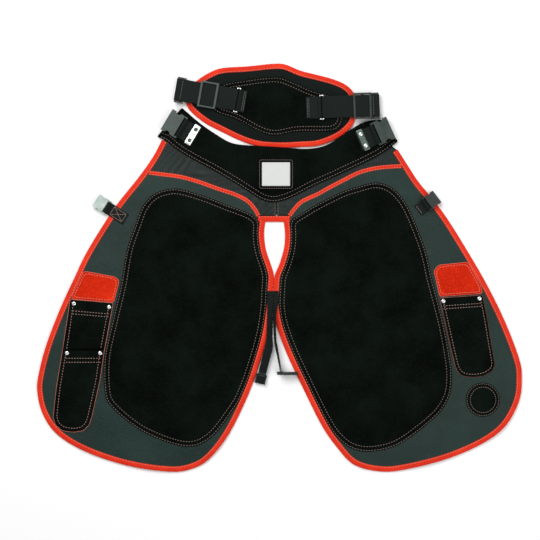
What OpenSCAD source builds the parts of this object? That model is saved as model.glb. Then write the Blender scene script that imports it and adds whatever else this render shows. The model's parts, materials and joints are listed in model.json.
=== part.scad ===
// Leather work chaps with a padded back support, laid out flat.
// X runs across the legs, +Y points from the hems to the waist, +Z points up.
// The origin is on the surface it lies on, under the middle of its outline.

/* [Leather] */
// Thickness of the main leather
leather_t = 2; // [1.4:0.1:2.4]
// Thickness of the suede patches
suede_t = 1.4; // [0.8:0.1:1.8]
// Thickness of one layer of the edge binding
tape_t = 0.8; // [0.6:0.1:1]
// Width of the edge binding
binding_w = 11; // [8:0.5:12]
// Width of the piping along the yoke seams
piping_w = 8; // [5:0.5:10]
// Height on the drawing of the line where the legs fold
fold_y = 82; // [70:1:84]

/* [Waistband] */
// Thickness of the waistband
band_t = 4; // [3:0.5:5]
// Width of the label
label_w = 56; // [40:1:60]
// Height of the label
label_h = 47; // [36:1:50]

/* [Belt and buckles] */
// Thickness of one layer of webbing
web_t = 1.2; // [1:0.1:1.4]
// Width of the belt webbing at the waist sockets
belt_w = 40; // [36:1:42]
// Width of the webbing on the back support
strap_w = 44; // [38:1:46]
// Outer width of a waist socket
belt_socket_w = 47; // [46:1:52]
// Length of a waist socket from its bar to its mouth
belt_socket_l = 33; // [30:1:36]
// Outer width of a thigh socket
thigh_socket_w = 29; // [28:1:34]
// Length of a thigh socket from its bar to its mouth
thigh_socket_l = 26; // [24:1:30]
// Width of the webbing at the thigh sockets
thigh_web_w = 24; // [20:1:24]
// Length of a waist plug from its bar to its tips
belt_plug_l = 44; // [40:1:45]

/* [Pockets] */
// How far the pocket fronts stand off their backing
pocket_depth = 5; // [4.6:0.1:7]
// Radius of the magnet
magnet_r = 24; // [15:1:26]

/* [Back support] */
// Thickness of the quilted middle of the back support
pad_t = 10; // [7:0.5:10]
// Thickness of the edge of the back support
pad_edge_t = 5; // [4:0.5:5]

/* [Hidden] */
$fn = 48;

charcoal = [0.16, 0.21, 0.20];
black_suede = [0.07, 0.08, 0.08];
red = [0.90, 0.22, 0.10];
webbing = [0.10, 0.13, 0.12];
dark_plastic = [0.30, 0.35, 0.33];
steel = [0.78, 0.80, 0.80];

// Heights of the layers, from the surface up
panel_z = tape_t;
panel_top = panel_z + leather_t;
binding_top = panel_top + tape_t;
suede_top = panel_top + suede_t;
band_z = 5.4;
band_top = band_z + band_t;
web2_t = 2 * web_t;
tuck = 1.6;
fold_gap = 0.8;
join_gap = 0.3;

// Edge of the left leg, from the waist down the outside, round the hem and up the inside
left_edge = [
    [-234, 256], [-252, 222], [-280, 182], [-329, 120], [-382, 36], [-407, -16],
    [-440, -88], [-467, -160], [-481, -216], [-483, -248], [-473, -290], [-444, -332],
    [-388, -366], [-306, -394], [-220, -407], [-176, -402], [-140, -382], [-99, -330],
    [-60, -250], [-38, -188], [-22, -130], [-14, -76], [-12.6, -44], [-11, -16],
    [-16, 6], [-26, 36], [-30, 68], [-27, 95]
];
// Edge of the right leg, from the crotch down the inside, round the hem and up the outside
right_edge = [
    [9, 95], [12, 68], [10, 40], [1, 8], [-8, -16], [-10.2, -44], [-11.4, -76], [-4, -118],
    [15, -170],
    [43, -230], [84, -312], [114, -356], [150, -393], [204, -407], [256, -402],
    [340, -380], [408, -350], [452, -316], [479, -268], [485, -222], [479, -178],
    [442, -86], [400, -6], [346, 84], [312, 132], [279, 172], [258, 204], [237, 237]
];
// Seams between yoke and legs, from the outside to the crotch
left_seam = [
    [-290, 194], [-232, 187], [-196, 182], [-160, 172], [-124, 159], [-88, 147],
    [-63, 134], [-48, 117], [-41, 104]
];
right_seam = [
    [276, 205], [216, 202], [186, 198], [158, 190], [130, 176], [103, 162], [76, 147],
    [46, 133], [30, 117], [21, 104]
];
// Waistband edges from left to right
band_upper = [
    [-194, 320], [-158, 289], [-126, 267], [-96, 250], [-64, 245], [-10, 242], [42, 238],
    [70, 239], [94, 245], [118, 259], [144, 277], [172, 292], [204, 296]
];
band_lower = [
    [-224, 254], [-206, 238], [-172, 217], [-136, 198], [-100, 177], [-63, 154],
    [-36, 137], [-14, 131], [6, 134], [34, 145], [70, 164], [106, 180], [140, 196],
    [174, 212], [206, 229], [238, 253]
];
// Upper edge of the yoke, hidden under the waistband
yoke_upper = [
    [-229, 258], [-200, 250], [-160, 232], [-120, 212], [-84, 190], [-50, 168],
    [-14, 154], [30, 164], [66, 183], [104, 201], [140, 217], [174, 232], [204, 242],
    [230, 244]
];
// Suede patches, anticlockwise from the top
left_suede_line = [
    [-208, 159], [-246, 150], [-272, 124], [-286, 88], [-304, 36], [-316, -34],
    [-335, -114], [-349, -180], [-348, -248], [-334, -278], [-278, -324], [-214, -351],
    [-180, -357], [-154, -351], [-126, -330], [-96, -290], [-68, -246], [-47, -184],
    [-31, -127], [-23, -76], [-22, -44], [-21, -14], [-26, 10], [-35, 38], [-39, 68],
    [-39, 90], [-52, 105], [-76, 116], [-104, 126], [-136, 139], [-172, 151]
];
right_suede_line = [
    [192, 171], [162, 164], [130, 154], [98, 139], [68, 123], [42, 107], [23, 94],
    [21, 68], [19, 42], [10, 10], [1, -16], [-1, -44], [-2, -76], [5, -115],
    [23, -166], [51, -226], [92, -306], [120, -343], [146, -361], [180, -367],
    [230, -357], [276, -328], [320, -290], [341, -254], [345, -222], [343, -186],
    [330, -116], [315, -56], [305, -18], [296, 24], [282, 66], [258, 122],
    [236, 152], [216, 166]
];
// Outline of the back support, anticlockwise from its left end
pad_line = [
    [-186, 338], [-180, 317], [-150, 291], [-116, 273], [-76, 254], [-40, 243],
    [4, 240], [46, 242], [76, 244], [106, 254], [130, 268], [150, 290], [154, 320],
    [150, 348], [135, 365], [112, 376], [80, 385], [44, 394], [12, 407], [-14, 408],
    [-62, 403], [-110, 400], [-134, 393], [-162, 376], [-180, 356]
];
pad_panel_line = [
    [-136, 338], [-128, 312], [-86, 297], [-42, 273], [-8, 264], [38, 272], [106, 273],
    [124, 286], [128, 310], [118, 338], [68, 353], [31, 369], [-5, 381], [-76, 373],
    [-116, 364]
];
pad_middle = [-16, 322];
foam_share = [0.78, 0.70];
dome_share = [0.84, 0.77];

// Pocket outlines, anticlockwise from the upper left
left_red_line = [[-384, -7], [-410, -8], [-414, -62], [-330, -69], [-319, -26], [-326, -18]];
left_backing_line = [
    [-417, -62.5], [-432, -162], [-444, -236], [-451, -298], [-446, -314], [-432, -325],
    [-410, -328], [-391, -325], [-379, -313], [-373, -294], [-358, -226], [-349, -166],
    [-331, -70]
];
upper_pocket_line = [[-415, -65], [-429, -161], [-350, -161], [-333, -72]];
lower_pocket_line = [
    [-430, -164], [-442, -236], [-449, -298], [-444, -313], [-431, -323], [-410, -326],
    [-392, -323], [-380, -312], [-375, -294], [-360, -226], [-351, -164]
];
right_red_line = [[319, 6], [309, -5], [321, -57], [406, -51], [404, -38], [378, 12]];
right_pocket_line = [
    [321, -60], [341, -150], [352, -196], [358, -209], [368, -216], [386, -218],
    [406, -216], [424, -207], [431, -194], [426, -164], [414, -93], [406, -54]
];
left_rivets = [[-409, -71], [-339, -78], [-423, -170], [-357, -170]];
right_rivets = [[328, -66], [400, -61]];
pocket_wall = 1.4;
pocket_back_t = 1.2;
pocket_z = panel_top + pocket_back_t;
pocket_top = pocket_z + pocket_depth + pocket_wall;
rivet_r = 1.8;
rivet_head_r = 4;
rivet_hole_r = 1.9;
magnet_at = [407, -263];
magnet_t = 3;

label_middle = [-6, 187];
label_margin = 8;
label_patch_t = 1;
label_t = 0.5;

// Buckle places: the bar's centre and the heading from the garment to the mouth
belt_bar_z = 15.2;
web_drop = band_top - belt_bar_z;
left_belt_at = [-195, 279, belt_bar_z];
left_belt_turn = 149;
right_belt_at = [192, 266, belt_bar_z];
right_belt_turn = 24;
plate_x = -26.6;
plate_l = 12.6;
plate_t = 1.2;
plate_rivet_y = 12.5;
thigh_bar_z = 8.8;
left_thigh_at = [-343, 121, thigh_bar_z];
left_thigh_turn = 147;
right_thigh_at = [294, 127, thigh_bar_z];
right_thigh_turn = 37;
belt_socket_t = 11;
thigh_socket_t = 9;
bar_r = 1.7;
eye_in = 2.1;
eye_out = eye_in + web_t;

// Back straps: the hinge bar's centre, the heading outwards and the length
strap_z = 15;
left_strap_at = [-86, 334.7, strap_z];
left_strap_turn = 170;
left_strap_l = 122;
right_strap_at = [88, 320, strap_z];
right_strap_turn = 2;
right_strap_l = 112;
loop_wire_r = 1.2;
loop_gap = 6;
small_eye_in = 1.5;
small_eye_out = small_eye_in + web_t;
plug_bar_drop = 2;
plug_mid_drop = 4.4;
plug_t = 7;
plug_cheek = 3;
glide_l = 36;
glide_rail = 3.2;
left_glide_x = 56;
right_glide_x = 78;
arm_root = 15.5;
arm_w = 5.5;
arm_y = 12.5;

// Leg straps
leg_web_w = 16;
leg_strap_z = 3.8;
leg_strap_high = 7.6;
left_plug_at = [-38, -228, 7];
left_plug_turn = 256;
right_plug_at = [4, -210, 13];
leg_bar_r = 1.5;
leg_eye_in = 1.8;
leg_eye_out = leg_eye_in + web_t;

// A smooth curve through the points p, with n steps between neighbours
function bend(p, n = 4) = concat([
    for (i = [0 : len(p) - 2], k = [0 : n - 1])
        blend_at(p[max(i - 1, 0)], p[i], p[i + 1], p[min(i + 2, len(p) - 1)], k / n)
], [p[len(p) - 1]]);
// The same, closed
function loop(p, n = 4) = let (m = len(p)) [
    for (i = [0 : m - 1], k = [0 : n - 1])
        blend_at(p[(i + m - 1) % m], p[i], p[(i + 1) % m], p[(i + 2) % m], k / n)
];
function blend_at(a, b, c, d, t) =
    0.5 * (2 * b + (c - a) * t + (2 * a - 5 * b + 4 * c - d) * t * t
    + (3 * b - a - 3 * c + d) * t * t * t);
// A unit vector at right angles to the way from a to b, on its left
function left_of(a, b) = let (t = (b - a) / norm(b - a)) [-t[1], t[0]];
// An open curve moved sideways by d, to the left
function shift(p, d) = let (m = len(p) - 1) [
    for (i = [0 : m]) p[i] + d * left_of(p[max(i - 1, 0)], p[min(i + 1, m)])
];
// A closed anticlockwise curve moved inwards by d
function inset(p, d) = let (m = len(p)) [
    for (i = [0 : m - 1]) p[i] + d * left_of(p[(i + m - 1) % m], p[(i + 1) % m])
];
function backwards(p) = [for (i = [len(p) - 1 : -1 : 0]) p[i]];
function scaled(p, share, middle) = [
    for (q = p)
        [middle[0] + share[0] * (q[0] - middle[0]), middle[1] + share[1] * (q[1] - middle[1])]
];
// The strip between the curves that lie a and b to the left of p
function ribbon(p, a, b) = concat(shift(p, a), backwards(shift(p, b)));

left_curve = bend(left_edge);
right_curve = bend(right_edge);
left_seam_curve = bend(left_seam);
right_seam_curve = bend(right_seam);
pad_curve = loop(pad_line);
centre_x = -5;
bar_y = [96.8, 103.8];
left_bar_x = -42;
right_bar_x = 22;

// A slab from height z up to height top
module slab(points, z, top) {
    translate([0, 0, z]) linear_extrude(top - z) polygon(points);
}

module at(place, turn) {
    translate(place) rotate([0, 0, turn]) children();
}

// A cylinder along Y, centred
module rod(r, l) {
    rotate([90, 0, 0]) cylinder(r = r, h = l, center = true);
}

// A block given by its corners
module block(low, high) {
    translate(low) cube(high - low);
}

// The half of the garment on one side, d inside its edge
function left_region(d) = concat(
    shift(left_curve, d),
    [[left_bar_x - 0.5, 95], [left_bar_x - 0.5, bar_y[1] + 0.2]],
    [[centre_x - 0.1, bar_y[1] + 0.2], [centre_x - 0.1, 156]],
    backwards([for (q = bend(yoke_upper)) if (q[0] < centre_x - 0.5 && q[0] > -229 + d) q])
);
function right_region(d) = concat(
    shift(right_curve, d),
    backwards([for (q = bend(yoke_upper)) if (q[0] > centre_x + 0.5 && q[0] < 230 - d) q]),
    [[centre_x + 0.1, 156], [centre_x + 0.1, bar_y[1] + 0.2]],
    [[right_bar_x + 0.5, bar_y[1] + 0.2], [right_bar_x + 0.5, 95]]
);

// Keeps the part of its children on the hip side or the leg side of the fold
module hip_part() {
    intersection() {
        children();
        block([-600, fold_y, -1], [600, 500, 30]);
    }
}
module leg_part() {
    intersection() {
        children();
        block([-600, -500, -1], [600, fold_y - fold_gap, 30]);
    }
}

module above_left_seam(top) {
    slab(concat(left_seam_curve, [[20, bar_y[1]], [20, 300], [-300, 300]]), 0, top);
}
module above_right_seam(top) {
    slab(concat(right_seam_curve, [[-30, bar_y[1]], [-30, 300], [300, 300]]), 0, top);
}

module left_leather() {
    slab(left_region(tuck), panel_z, panel_top);
}
module right_leather() {
    slab(right_region(tuck), panel_z, panel_top);
}

module left_yoke() {
    color(charcoal) intersection() {
        left_leather();
        above_left_seam(20);
    }
}
module right_yoke() {
    color(charcoal) intersection() {
        right_leather();
        above_right_seam(20);
    }
}

// Red piping that covers the seams between yoke and legs
module yoke_piping() {
    color(red) {
        intersection() {
            slab(ribbon(left_seam_curve, -piping_w / 2, piping_w / 2), panel_top, binding_top);
            slab(left_region(binding_w + join_gap), 0, 20);
        }
        intersection() {
            slab(ribbon(right_seam_curve, -piping_w / 2, piping_w / 2), panel_top, binding_top);
            slab(right_region(binding_w + join_gap), 0, 20);
        }
    }
}

module left_hip_panel() {
    color(charcoal) hip_part() difference() {
        left_leather();
        above_left_seam(20);
    }
}
module right_hip_panel() {
    color(charcoal) hip_part() difference() {
        right_leather();
        above_right_seam(20);
    }
}
module left_leg_panel() {
    color(charcoal) difference() {
        leg_part() left_leather();
        rivet_holes(left_rivets);
    }
}
module right_leg_panel() {
    color(charcoal) difference() {
        leg_part() right_leather();
        rivet_holes(right_rivets);
    }
}

module left_suede() {
    intersection() {
        slab(loop(left_suede_line, 3), panel_top, suede_top);
        slab(left_region(binding_w + join_gap), 0, 20);
    }
}
module right_suede() {
    intersection() {
        slab(loop(right_suede_line, 3), panel_top, suede_top);
        slab(right_region(binding_w + join_gap), 0, 20);
    }
}
module left_hip_suede() {
    color(black_suede) hip_part() left_suede();
}
module right_hip_suede() {
    color(black_suede) hip_part() right_suede();
}
module left_leg_suede() {
    color(black_suede) leg_part() left_suede();
}
module right_leg_suede() {
    color(black_suede) leg_part() right_suede();
}

// Tape folded over an edge, with a slot that holds the leather
module binding(curve) {
    difference() {
        slab(ribbon(curve, 0, binding_w), 0, binding_top);
        slab(ribbon(curve, tuck - 0.1, binding_w + 1), panel_z, panel_top);
    }
}
module left_hip_binding() {
    color(red) hip_part() binding(left_curve);
}
module right_hip_binding() {
    color(red) hip_part() binding(right_curve);
}
module left_leg_binding() {
    color(red) leg_part() binding(left_curve);
}
module right_leg_binding() {
    color(red) leg_part() binding(right_curve);
}
module crotch_binding() {
    color(red) block([left_bar_x, bar_y[0], 0], [right_bar_x, bar_y[1], binding_top]);
}

function band_outline() = concat(
    bend(band_upper, 3), backwards(bend(band_lower, 3)), [[-244, 262]]
);
module waistband() {
    color(black_suede) difference() {
        slab(band_outline(), band_z, band_top);
        belt_rivet_places() cylinder(r = rivet_hole_r, h = 40, center = true);
    }
}
// Stiffener inside the waistband, clear of its edges
module waistband_lining() {
    color(charcoal) difference() {
        slab(concat(
            shift(bend([for (i = [1 : 11]) band_upper[i]], 3), -14),
            backwards(shift(bend([for (i = [2 : 13]) band_lower[i]], 3), 12))
        ), panel_top, band_z);
        block([-60, 100, 0], [50, 134, 20]);
    }
}

module label_patch() {
    w = label_w / 2 + label_margin;
    h = label_h / 2 + label_margin;
    color(black_suede) translate(label_middle)
        block([-w, -h, band_top], [w, h, band_top + label_patch_t]);
}
module label() {
    z = band_top + label_patch_t;
    color("white") translate(label_middle)
        block([-label_w / 2, -label_h / 2, z], [label_w / 2, label_h / 2, z + label_t]);
}

// Webbing from an eye round a bar at the origin, back to a flat sewn end, in side view
module web_to_bar(w, eye_r, side_view) {
    difference() {
        union() {
            rod(eye_r + web_t, w);
            rotate([90, 0, 0]) linear_extrude(w, center = true) polygon(side_view);
        }
        rod(eye_r, w + 1);
    }
}

module belt_web() {
    difference() {
        web_to_bar(belt_w, eye_in, [
            [-2.2, -2.4], [-8, web_drop], [-36, web_drop], [-36, web_drop + web2_t],
            [-9, web_drop + web2_t], [-3.1, 1]
        ]);
        for (s = [-1, 1])
            translate([plate_x, s * plate_rivet_y, 0])
                cylinder(r = rivet_hole_r, h = 20, center = true);
    }
}
module belt_webs() {
    color(webbing) {
        at(left_belt_at, left_belt_turn) belt_web();
        at(right_belt_at, right_belt_turn) belt_web();
    }
}
module rivet_plate() {
    z = web_drop + web2_t;
    difference() {
        block([plate_x - plate_l / 2, -22, z], [plate_x + plate_l / 2, 22, z + plate_t]);
        for (s = [-1, 1])
            translate([plate_x, s * plate_rivet_y, z])
                cylinder(r = rivet_hole_r, h = 6, center = true);
    }
}
module rivet_plates() {
    color(steel) {
        at(left_belt_at, left_belt_turn) rivet_plate();
        at(right_belt_at, right_belt_turn) rivet_plate();
    }
}
module belt_rivet_places() {
    for (s = [-1, 1]) {
        at(left_belt_at, left_belt_turn) translate([plate_x, s * plate_rivet_y, 0]) children();
        at(right_belt_at, right_belt_turn) translate([plate_x, s * plate_rivet_y, 0]) children();
    }
}
module belt_rivets() {
    head_z = web_drop + web2_t + plate_t;
    color(steel) belt_rivet_places() {
        translate([0, 0, head_z]) cylinder(r = 3.2, h = 1.2);
        translate([0, 0, web_drop - band_t])
            cylinder(r = rivet_r, h = head_z - web_drop + band_t + 0.5);
    }
}

// A side-release socket: bar at the origin, hollow body towards +X
module socket(w, l, t, web, wall) {
    back = 4.4;
    notch_x = (back + l) / 2;
    ear_in = web / 2 + 0.4;
    ear_w = w / 2 - ear_in;
    bore_w = w / 2 - wall - 1;
    difference() {
        union() {
            block([back, -w / 2, -t / 2], [l, w / 2, t / 2]);
            for (s = [-1, 1])
                translate([0, s * (ear_in + ear_w / 2), 0]) {
                    rod(3, ear_w);
                    block([0, -ear_w / 2, -3], [back + 1, ear_w / 2, 3]);
                }
            rod(bar_r, w - 2);
        }
        block([back + 4, -bore_w, -t / 2 + wall], [l + 1, bore_w, t / 2 - wall]);
        for (s = [-1, 1])
            translate([notch_x, s * (w / 2 + 1.5), 0])
                cylinder(r = w * 0.13, h = t + 1, center = true);
    }
}
module left_belt_socket() {
    color(dark_plastic) at(left_belt_at, left_belt_turn)
        socket(belt_socket_w, belt_socket_l, belt_socket_t, belt_w, 2);
}
module right_belt_socket() {
    color(dark_plastic) at(right_belt_at, right_belt_turn)
        socket(belt_socket_w, belt_socket_l, belt_socket_t, belt_w, 2);
}
module left_thigh_socket() {
    color(steel) at(left_thigh_at, left_thigh_turn)
        socket(thigh_socket_w, thigh_socket_l, thigh_socket_t, thigh_web_w, 1.5);
}
module right_thigh_socket() {
    color(dark_plastic) at(right_thigh_at, right_thigh_turn)
        socket(thigh_socket_w, thigh_socket_l, thigh_socket_t, thigh_web_w, 1.5);
}

// Sewn tabs that hold the thigh sockets
module thigh_tab(reach) {
    low = binding_top + 0.1 - thigh_bar_z;
    web_to_bar(thigh_web_w, eye_in, [
        [-1.8, -2.6], [-7, low], [-reach, low], [-reach, low + web2_t],
        [-8, low + web2_t], [-3.1, 0.8]
    ]);
}
module thigh_tabs() {
    color(webbing) {
        at(left_thigh_at, left_thigh_turn) thigh_tab(43);
        at(right_thigh_at, right_thigh_turn) thigh_tab(21);
    }
}

module rivet_holes(places) {
    for (p = places)
        translate([p[0], p[1], -1]) cylinder(r = rivet_hole_r, h = 30);
}
module pocket_rivets(places) {
    for (p = places)
        translate([p[0], p[1], 0]) {
            translate([0, 0, pocket_top]) cylinder(r = rivet_head_r, h = 1.4);
            translate([0, 0, panel_z]) cylinder(r = rivet_r, h = pocket_top - panel_z + 0.5);
        }
}
module left_red_patch() {
    color(red) intersection() {
        slab(left_red_line, panel_top, suede_top);
        slab(left_region(binding_w + join_gap), 0, 20);
    }
}
module left_pocket_backing() {
    color(black_suede) difference() {
        intersection() {
            slab(left_backing_line, panel_top, pocket_z);
            slab(left_region(binding_w + join_gap), 0, 20);
        }
        slab(left_red_line, 0, 20);
        rivet_holes(left_rivets);
    }
}
// A pocket front that stands off its backing, hollow where mouth says
module pocket(line, mouth, holes) {
    difference() {
        slab(line, pocket_z, pocket_top);
        slab(mouth, pocket_z - 1, pocket_z + pocket_depth);
        rivet_holes(holes);
    }
}
module left_upper_pocket() {
    color(black_suede) pocket(
        upper_pocket_line,
        [[-413, -58], [-427, -170], [-352, -170], [-336, -58]], left_rivets
    );
}
module left_lower_pocket() {
    inner = inset(lower_pocket_line, pocket_wall);
    last = len(inner) - 1;
    color(black_suede) intersection() {
        pocket(lower_pocket_line, concat(
            [[-428, -160]], [for (i = [1 : last - 1]) inner[i]], [[-352.5, -160]]
        ), left_rivets);
        slab(left_region(binding_w + join_gap), 0, 20);
    }
}
module left_pocket_rivets() {
    color(steel) pocket_rivets(left_rivets);
}
module right_red_patch() {
    color(red) intersection() {
        slab(right_red_line, panel_top, suede_top);
        slab(right_region(binding_w + join_gap), 0, 20);
    }
}
module right_pocket() {
    inner = inset(right_pocket_line, pocket_wall);
    last = len(inner) - 1;
    color(black_suede) difference() {
        slab(right_pocket_line, panel_top, pocket_top);
        slab(concat(
            [[323, -50]], [for (i = [1 : last - 1]) inner[i]], [[404, -46]]
        ), pocket_z, pocket_z + pocket_depth);
        rivet_holes(right_rivets);
    }
}
module right_pocket_rivets() {
    color(steel) pocket_rivets(right_rivets);
}
module magnet_cover() {
    color(black_suede) translate([magnet_at[0], magnet_at[1], panel_top]) difference() {
        union() {
            cylinder(r = magnet_r + 10, h = suede_t);
            cylinder(r = magnet_r + 2, h = magnet_t + suede_t);
        }
        translate([0, 0, -1]) cylinder(r = magnet_r, h = magnet_t + 1);
    }
}
module magnet() {
    color(steel) translate([magnet_at[0], magnet_at[1], panel_top])
        cylinder(r = magnet_r - 0.2, h = magnet_t);
}

// Plug of a leg strap: bar at the origin, body towards +X and drop below the bar
module leg_plug(w, drop, ears) {
    cheek = 2.2;
    inner = w / 2 + 0.4;
    t = 5.6;
    for (s = [-1, 1])
        scale([1, s, 1]) {
            block([-ears, inner, min(-drop - t / 2, -t / 2)], [9, inner + cheek, 2]);
            block([16, w / 2 - 4, -drop - t / 2], [34, w / 2, -drop + t / 2]);
        }
    block([5, -inner - cheek, -drop - t / 2], [16.2, inner + cheek, -drop + t / 2]);
    block([16, -2.5, -drop - t / 2 + 1], [28, 2.5, -drop + t / 2 - 1]);
    rod(leg_bar_r, w + 2);
}
// Strap of the left leg: sewn on at the leg's inner edge, then free beside the leg
module left_leg_strap() {
    upper = [
        [-23, -46], [-23, -90], [-23, -122], [-24, -142], [-14, -142], [-14, -122],
        [-14.5, -100], [-14.5, -46]
    ];

    color(webbing) {
        slab(upper, leg_strap_z, leg_strap_z + web2_t);
        slab(
            [[-24, -136], [-25.5, -150], [-11.5, -150], [-14, -136]],
            leg_strap_z, leg_strap_high + web2_t
        );
        at(left_plug_at, left_plug_turn) difference() {
            union() {
                rod(leg_eye_out, leg_web_w);
                block(
                    [-83, -leg_web_w / 2, leg_strap_high - left_plug_at[2]],
                    [0, leg_web_w / 2, leg_strap_high - left_plug_at[2] + web2_t]
                );
            }
            rod(leg_eye_in, leg_web_w + 1);
        }
    }
}
module left_leg_plug() {
    color(dark_plastic) at(left_plug_at, left_plug_turn + 180) leg_plug(leg_web_w, 3.8, 3);
}
// Strap of the right leg: sewn over the binding, then on its edge between the legs
module right_leg_strap() {
    eye_low = right_plug_at[2] - leg_web_w / 2;
    on_edge = bend([[-7, -112], [-6.5, -150], [-2.5, -178], [4, right_plug_at[1] + 2]]);
    color(webbing) difference() {
        union() {
            slab([[-11, -46], [-11, -70], [-1, -70], [-1, -46]], leg_strap_z, leg_strap_z + web2_t);
            slab([[-11, -66], [-10, -118], [-4, -118], [-3, -66]], leg_strap_z, 9);
            slab(ribbon(on_edge, -web_t, web_t), eye_low, eye_low + leg_web_w);
            translate([right_plug_at[0], right_plug_at[1], eye_low])
                cylinder(r = leg_eye_out, h = leg_web_w);
        }
        translate([right_plug_at[0], right_plug_at[1], -1]) cylinder(r = leg_eye_in, h = 40);
    }
}
module right_leg_plug() {
    color(dark_plastic) translate(right_plug_at) rotate([90, 0, 0]) leg_plug(leg_web_w, 0, 8);
}

module pad_backing() {
    color(charcoal) slab(inset(pad_curve, tuck), tape_t, tape_t + 1);
}
module foam_block() {
    slab(scaled(pad_curve, foam_share, pad_middle), tape_t + 1, pad_t - 1);
}
module pad_foam() {
    color("gold") foam_block();
}
module pad_mesh() {
    color(charcoal) difference() {
        union() {
            slab(inset(pad_curve, tuck), tape_t + 1, pad_edge_t - tape_t);
            slab(scaled(pad_curve, dome_share, pad_middle), tape_t + 1, pad_t);
        }
        foam_block();
    }
}
module pad_panel() {
    color(black_suede) slab(loop(pad_panel_line), pad_t, pad_t + suede_t);
}
module pad_binding() {
    color(red) difference() {
        slab(pad_curve, 0, pad_edge_t);
        slab(inset(pad_curve, binding_w), -1, pad_edge_t + 1);
        slab(inset(pad_curve, tuck - 0.1), tape_t, pad_edge_t - tape_t);
    }
}

// Tab from a wire loop's inner bar to the pad
module strap_tab(reach) {
    low = pad_t + suede_t + 0.1 - strap_z;
    translate([-loop_gap, 0, 0]) web_to_bar(strap_w, small_eye_in, [
        [0, -2.6], [-3, low], [-reach, low], [-reach, low + web2_t],
        [-4, low + web2_t], [-2.5, 0.6]
    ]);
}
module strap_tabs() {
    color(webbing) {
        at(left_strap_at, left_strap_turn) strap_tab(20);
        at(right_strap_at, right_strap_turn) strap_tab(34);
    }
}
module strap_loop() {
    end_y = strap_w / 2 + 1.6;
    for (x = [0, -loop_gap]) {
        translate([x, 0, 0]) rod(loop_wire_r, 2 * end_y);
        for (s = [-1, 1]) translate([x, s * end_y, 0]) sphere(loop_wire_r);
    }
    for (s = [-1, 1])
        translate([-loop_gap, s * end_y, 0])
            rotate([0, 90, 0]) cylinder(r = loop_wire_r, h = loop_gap);
}
module strap_loops() {
    color(steel) {
        at(left_strap_at, left_strap_turn) strap_loop();
        at(right_strap_at, right_strap_turn) strap_loop();
    }
}

// Back strap from its hinge bar at the origin to the eye that holds its plug
module back_strap(l) {
    color(webbing) difference() {
        union() {
            rod(small_eye_out, strap_w);
            block([0, -strap_w / 2, -web_t], [l - eye_out, strap_w / 2, web_t]);
            translate([l - eye_out, 0, -plug_bar_drop]) rod(eye_out - 0.1, strap_w);
        }
        rod(small_eye_in, strap_w + 1);
        translate([l - eye_out, 0, -plug_bar_drop]) rod(eye_in - 0.1, strap_w + 1);
    }
}
module left_back_strap() {
    at(left_strap_at, left_strap_turn) back_strap(left_strap_l);
}
module right_back_strap() {
    at(right_strap_at, right_strap_turn) back_strap(right_strap_l);
}

// Strap adjuster: two bars over the webbing, one under it, joined by side rails
module tri_glide() {
    rail_in = strap_w / 2 + 0.6;
    under = -web_t - 1.3;
    over = web_t + 2.6;
    color(dark_plastic) {
        for (s = [-1, 1])
            scale([1, s, 1])
                block([-glide_l / 2, rail_in, under], [glide_l / 2, rail_in + glide_rail, over]);
        for (s = [-1, 1])
            scale([s, 1, 1]) block(
                [glide_l / 2 - 4, -rail_in - 1, web_t + 0.3], [glide_l / 2, rail_in + 1, over]
            );
        block([-3, -rail_in - 1, under], [3, rail_in + 1, -web_t - 0.2]);
    }
}
module left_tri_glide() {
    at(left_strap_at, left_strap_turn) translate([left_glide_x, 0, 0]) tri_glide();
}
module right_tri_glide() {
    at(right_strap_at, right_strap_turn) translate([right_glide_x, 0, 0]) tri_glide();
}

// Waist plug folded under its strap: bar at the origin, body towards +X, below the bar
module belt_plug() {
    inner = strap_w / 2 + 0.5;
    low = -plug_mid_drop - plug_t / 2;
    high = -plug_mid_drop + plug_t / 2;
    color(dark_plastic) {
        for (s = [-1, 1])
            scale([1, s, 1]) block([-2.4, inner, low + 2], [8, inner + plug_cheek, 2.2]);
        block([4.4, -inner - plug_cheek, low], [arm_root - 0.6, inner + plug_cheek, high]);
        block([arm_root - 1, -6, low + 1.5], [belt_plug_l - 8, 6, high - 1.5]);
        rod(bar_r, 2 * inner + 2);
    }
}
// One sprung arm of a waist plug, on the side s
module plug_arm(s) {
    low = -plug_mid_drop - plug_t / 2 + 1;
    high = -plug_mid_drop + plug_t / 2 - 1;
    color(dark_plastic) scale([1, s, 1])
        slab([
            [arm_root, arm_y], [belt_plug_l - 10, arm_y], [belt_plug_l, arm_y + 2],
            [belt_plug_l - 3, arm_y + arm_w], [belt_plug_l - 14, arm_y + arm_w + 1],
            [belt_plug_l - 16, arm_y + arm_w - 1], [arm_root, arm_y + arm_w - 1]
        ], low, high);
}
module on_left_plug() {
    at(left_strap_at, left_strap_turn)
        translate([left_strap_l - eye_out, 0, -plug_bar_drop]) rotate([0, 0, 180]) children();
}
module on_right_plug() {
    at(right_strap_at, right_strap_turn)
        translate([right_strap_l - eye_out, 0, -plug_bar_drop]) rotate([0, 0, 180]) children();
}
module left_belt_plug() {
    on_left_plug() belt_plug();
}
module right_belt_plug() {
    on_right_plug() belt_plug();
}
module left_plug_arm_a() {
    on_left_plug() plug_arm(1);
}
module left_plug_arm_b() {
    on_left_plug() plug_arm(-1);
}
module right_plug_arm_a() {
    on_right_plug() plug_arm(1);
}
module right_plug_arm_b() {
    on_right_plug() plug_arm(-1);
}

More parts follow.
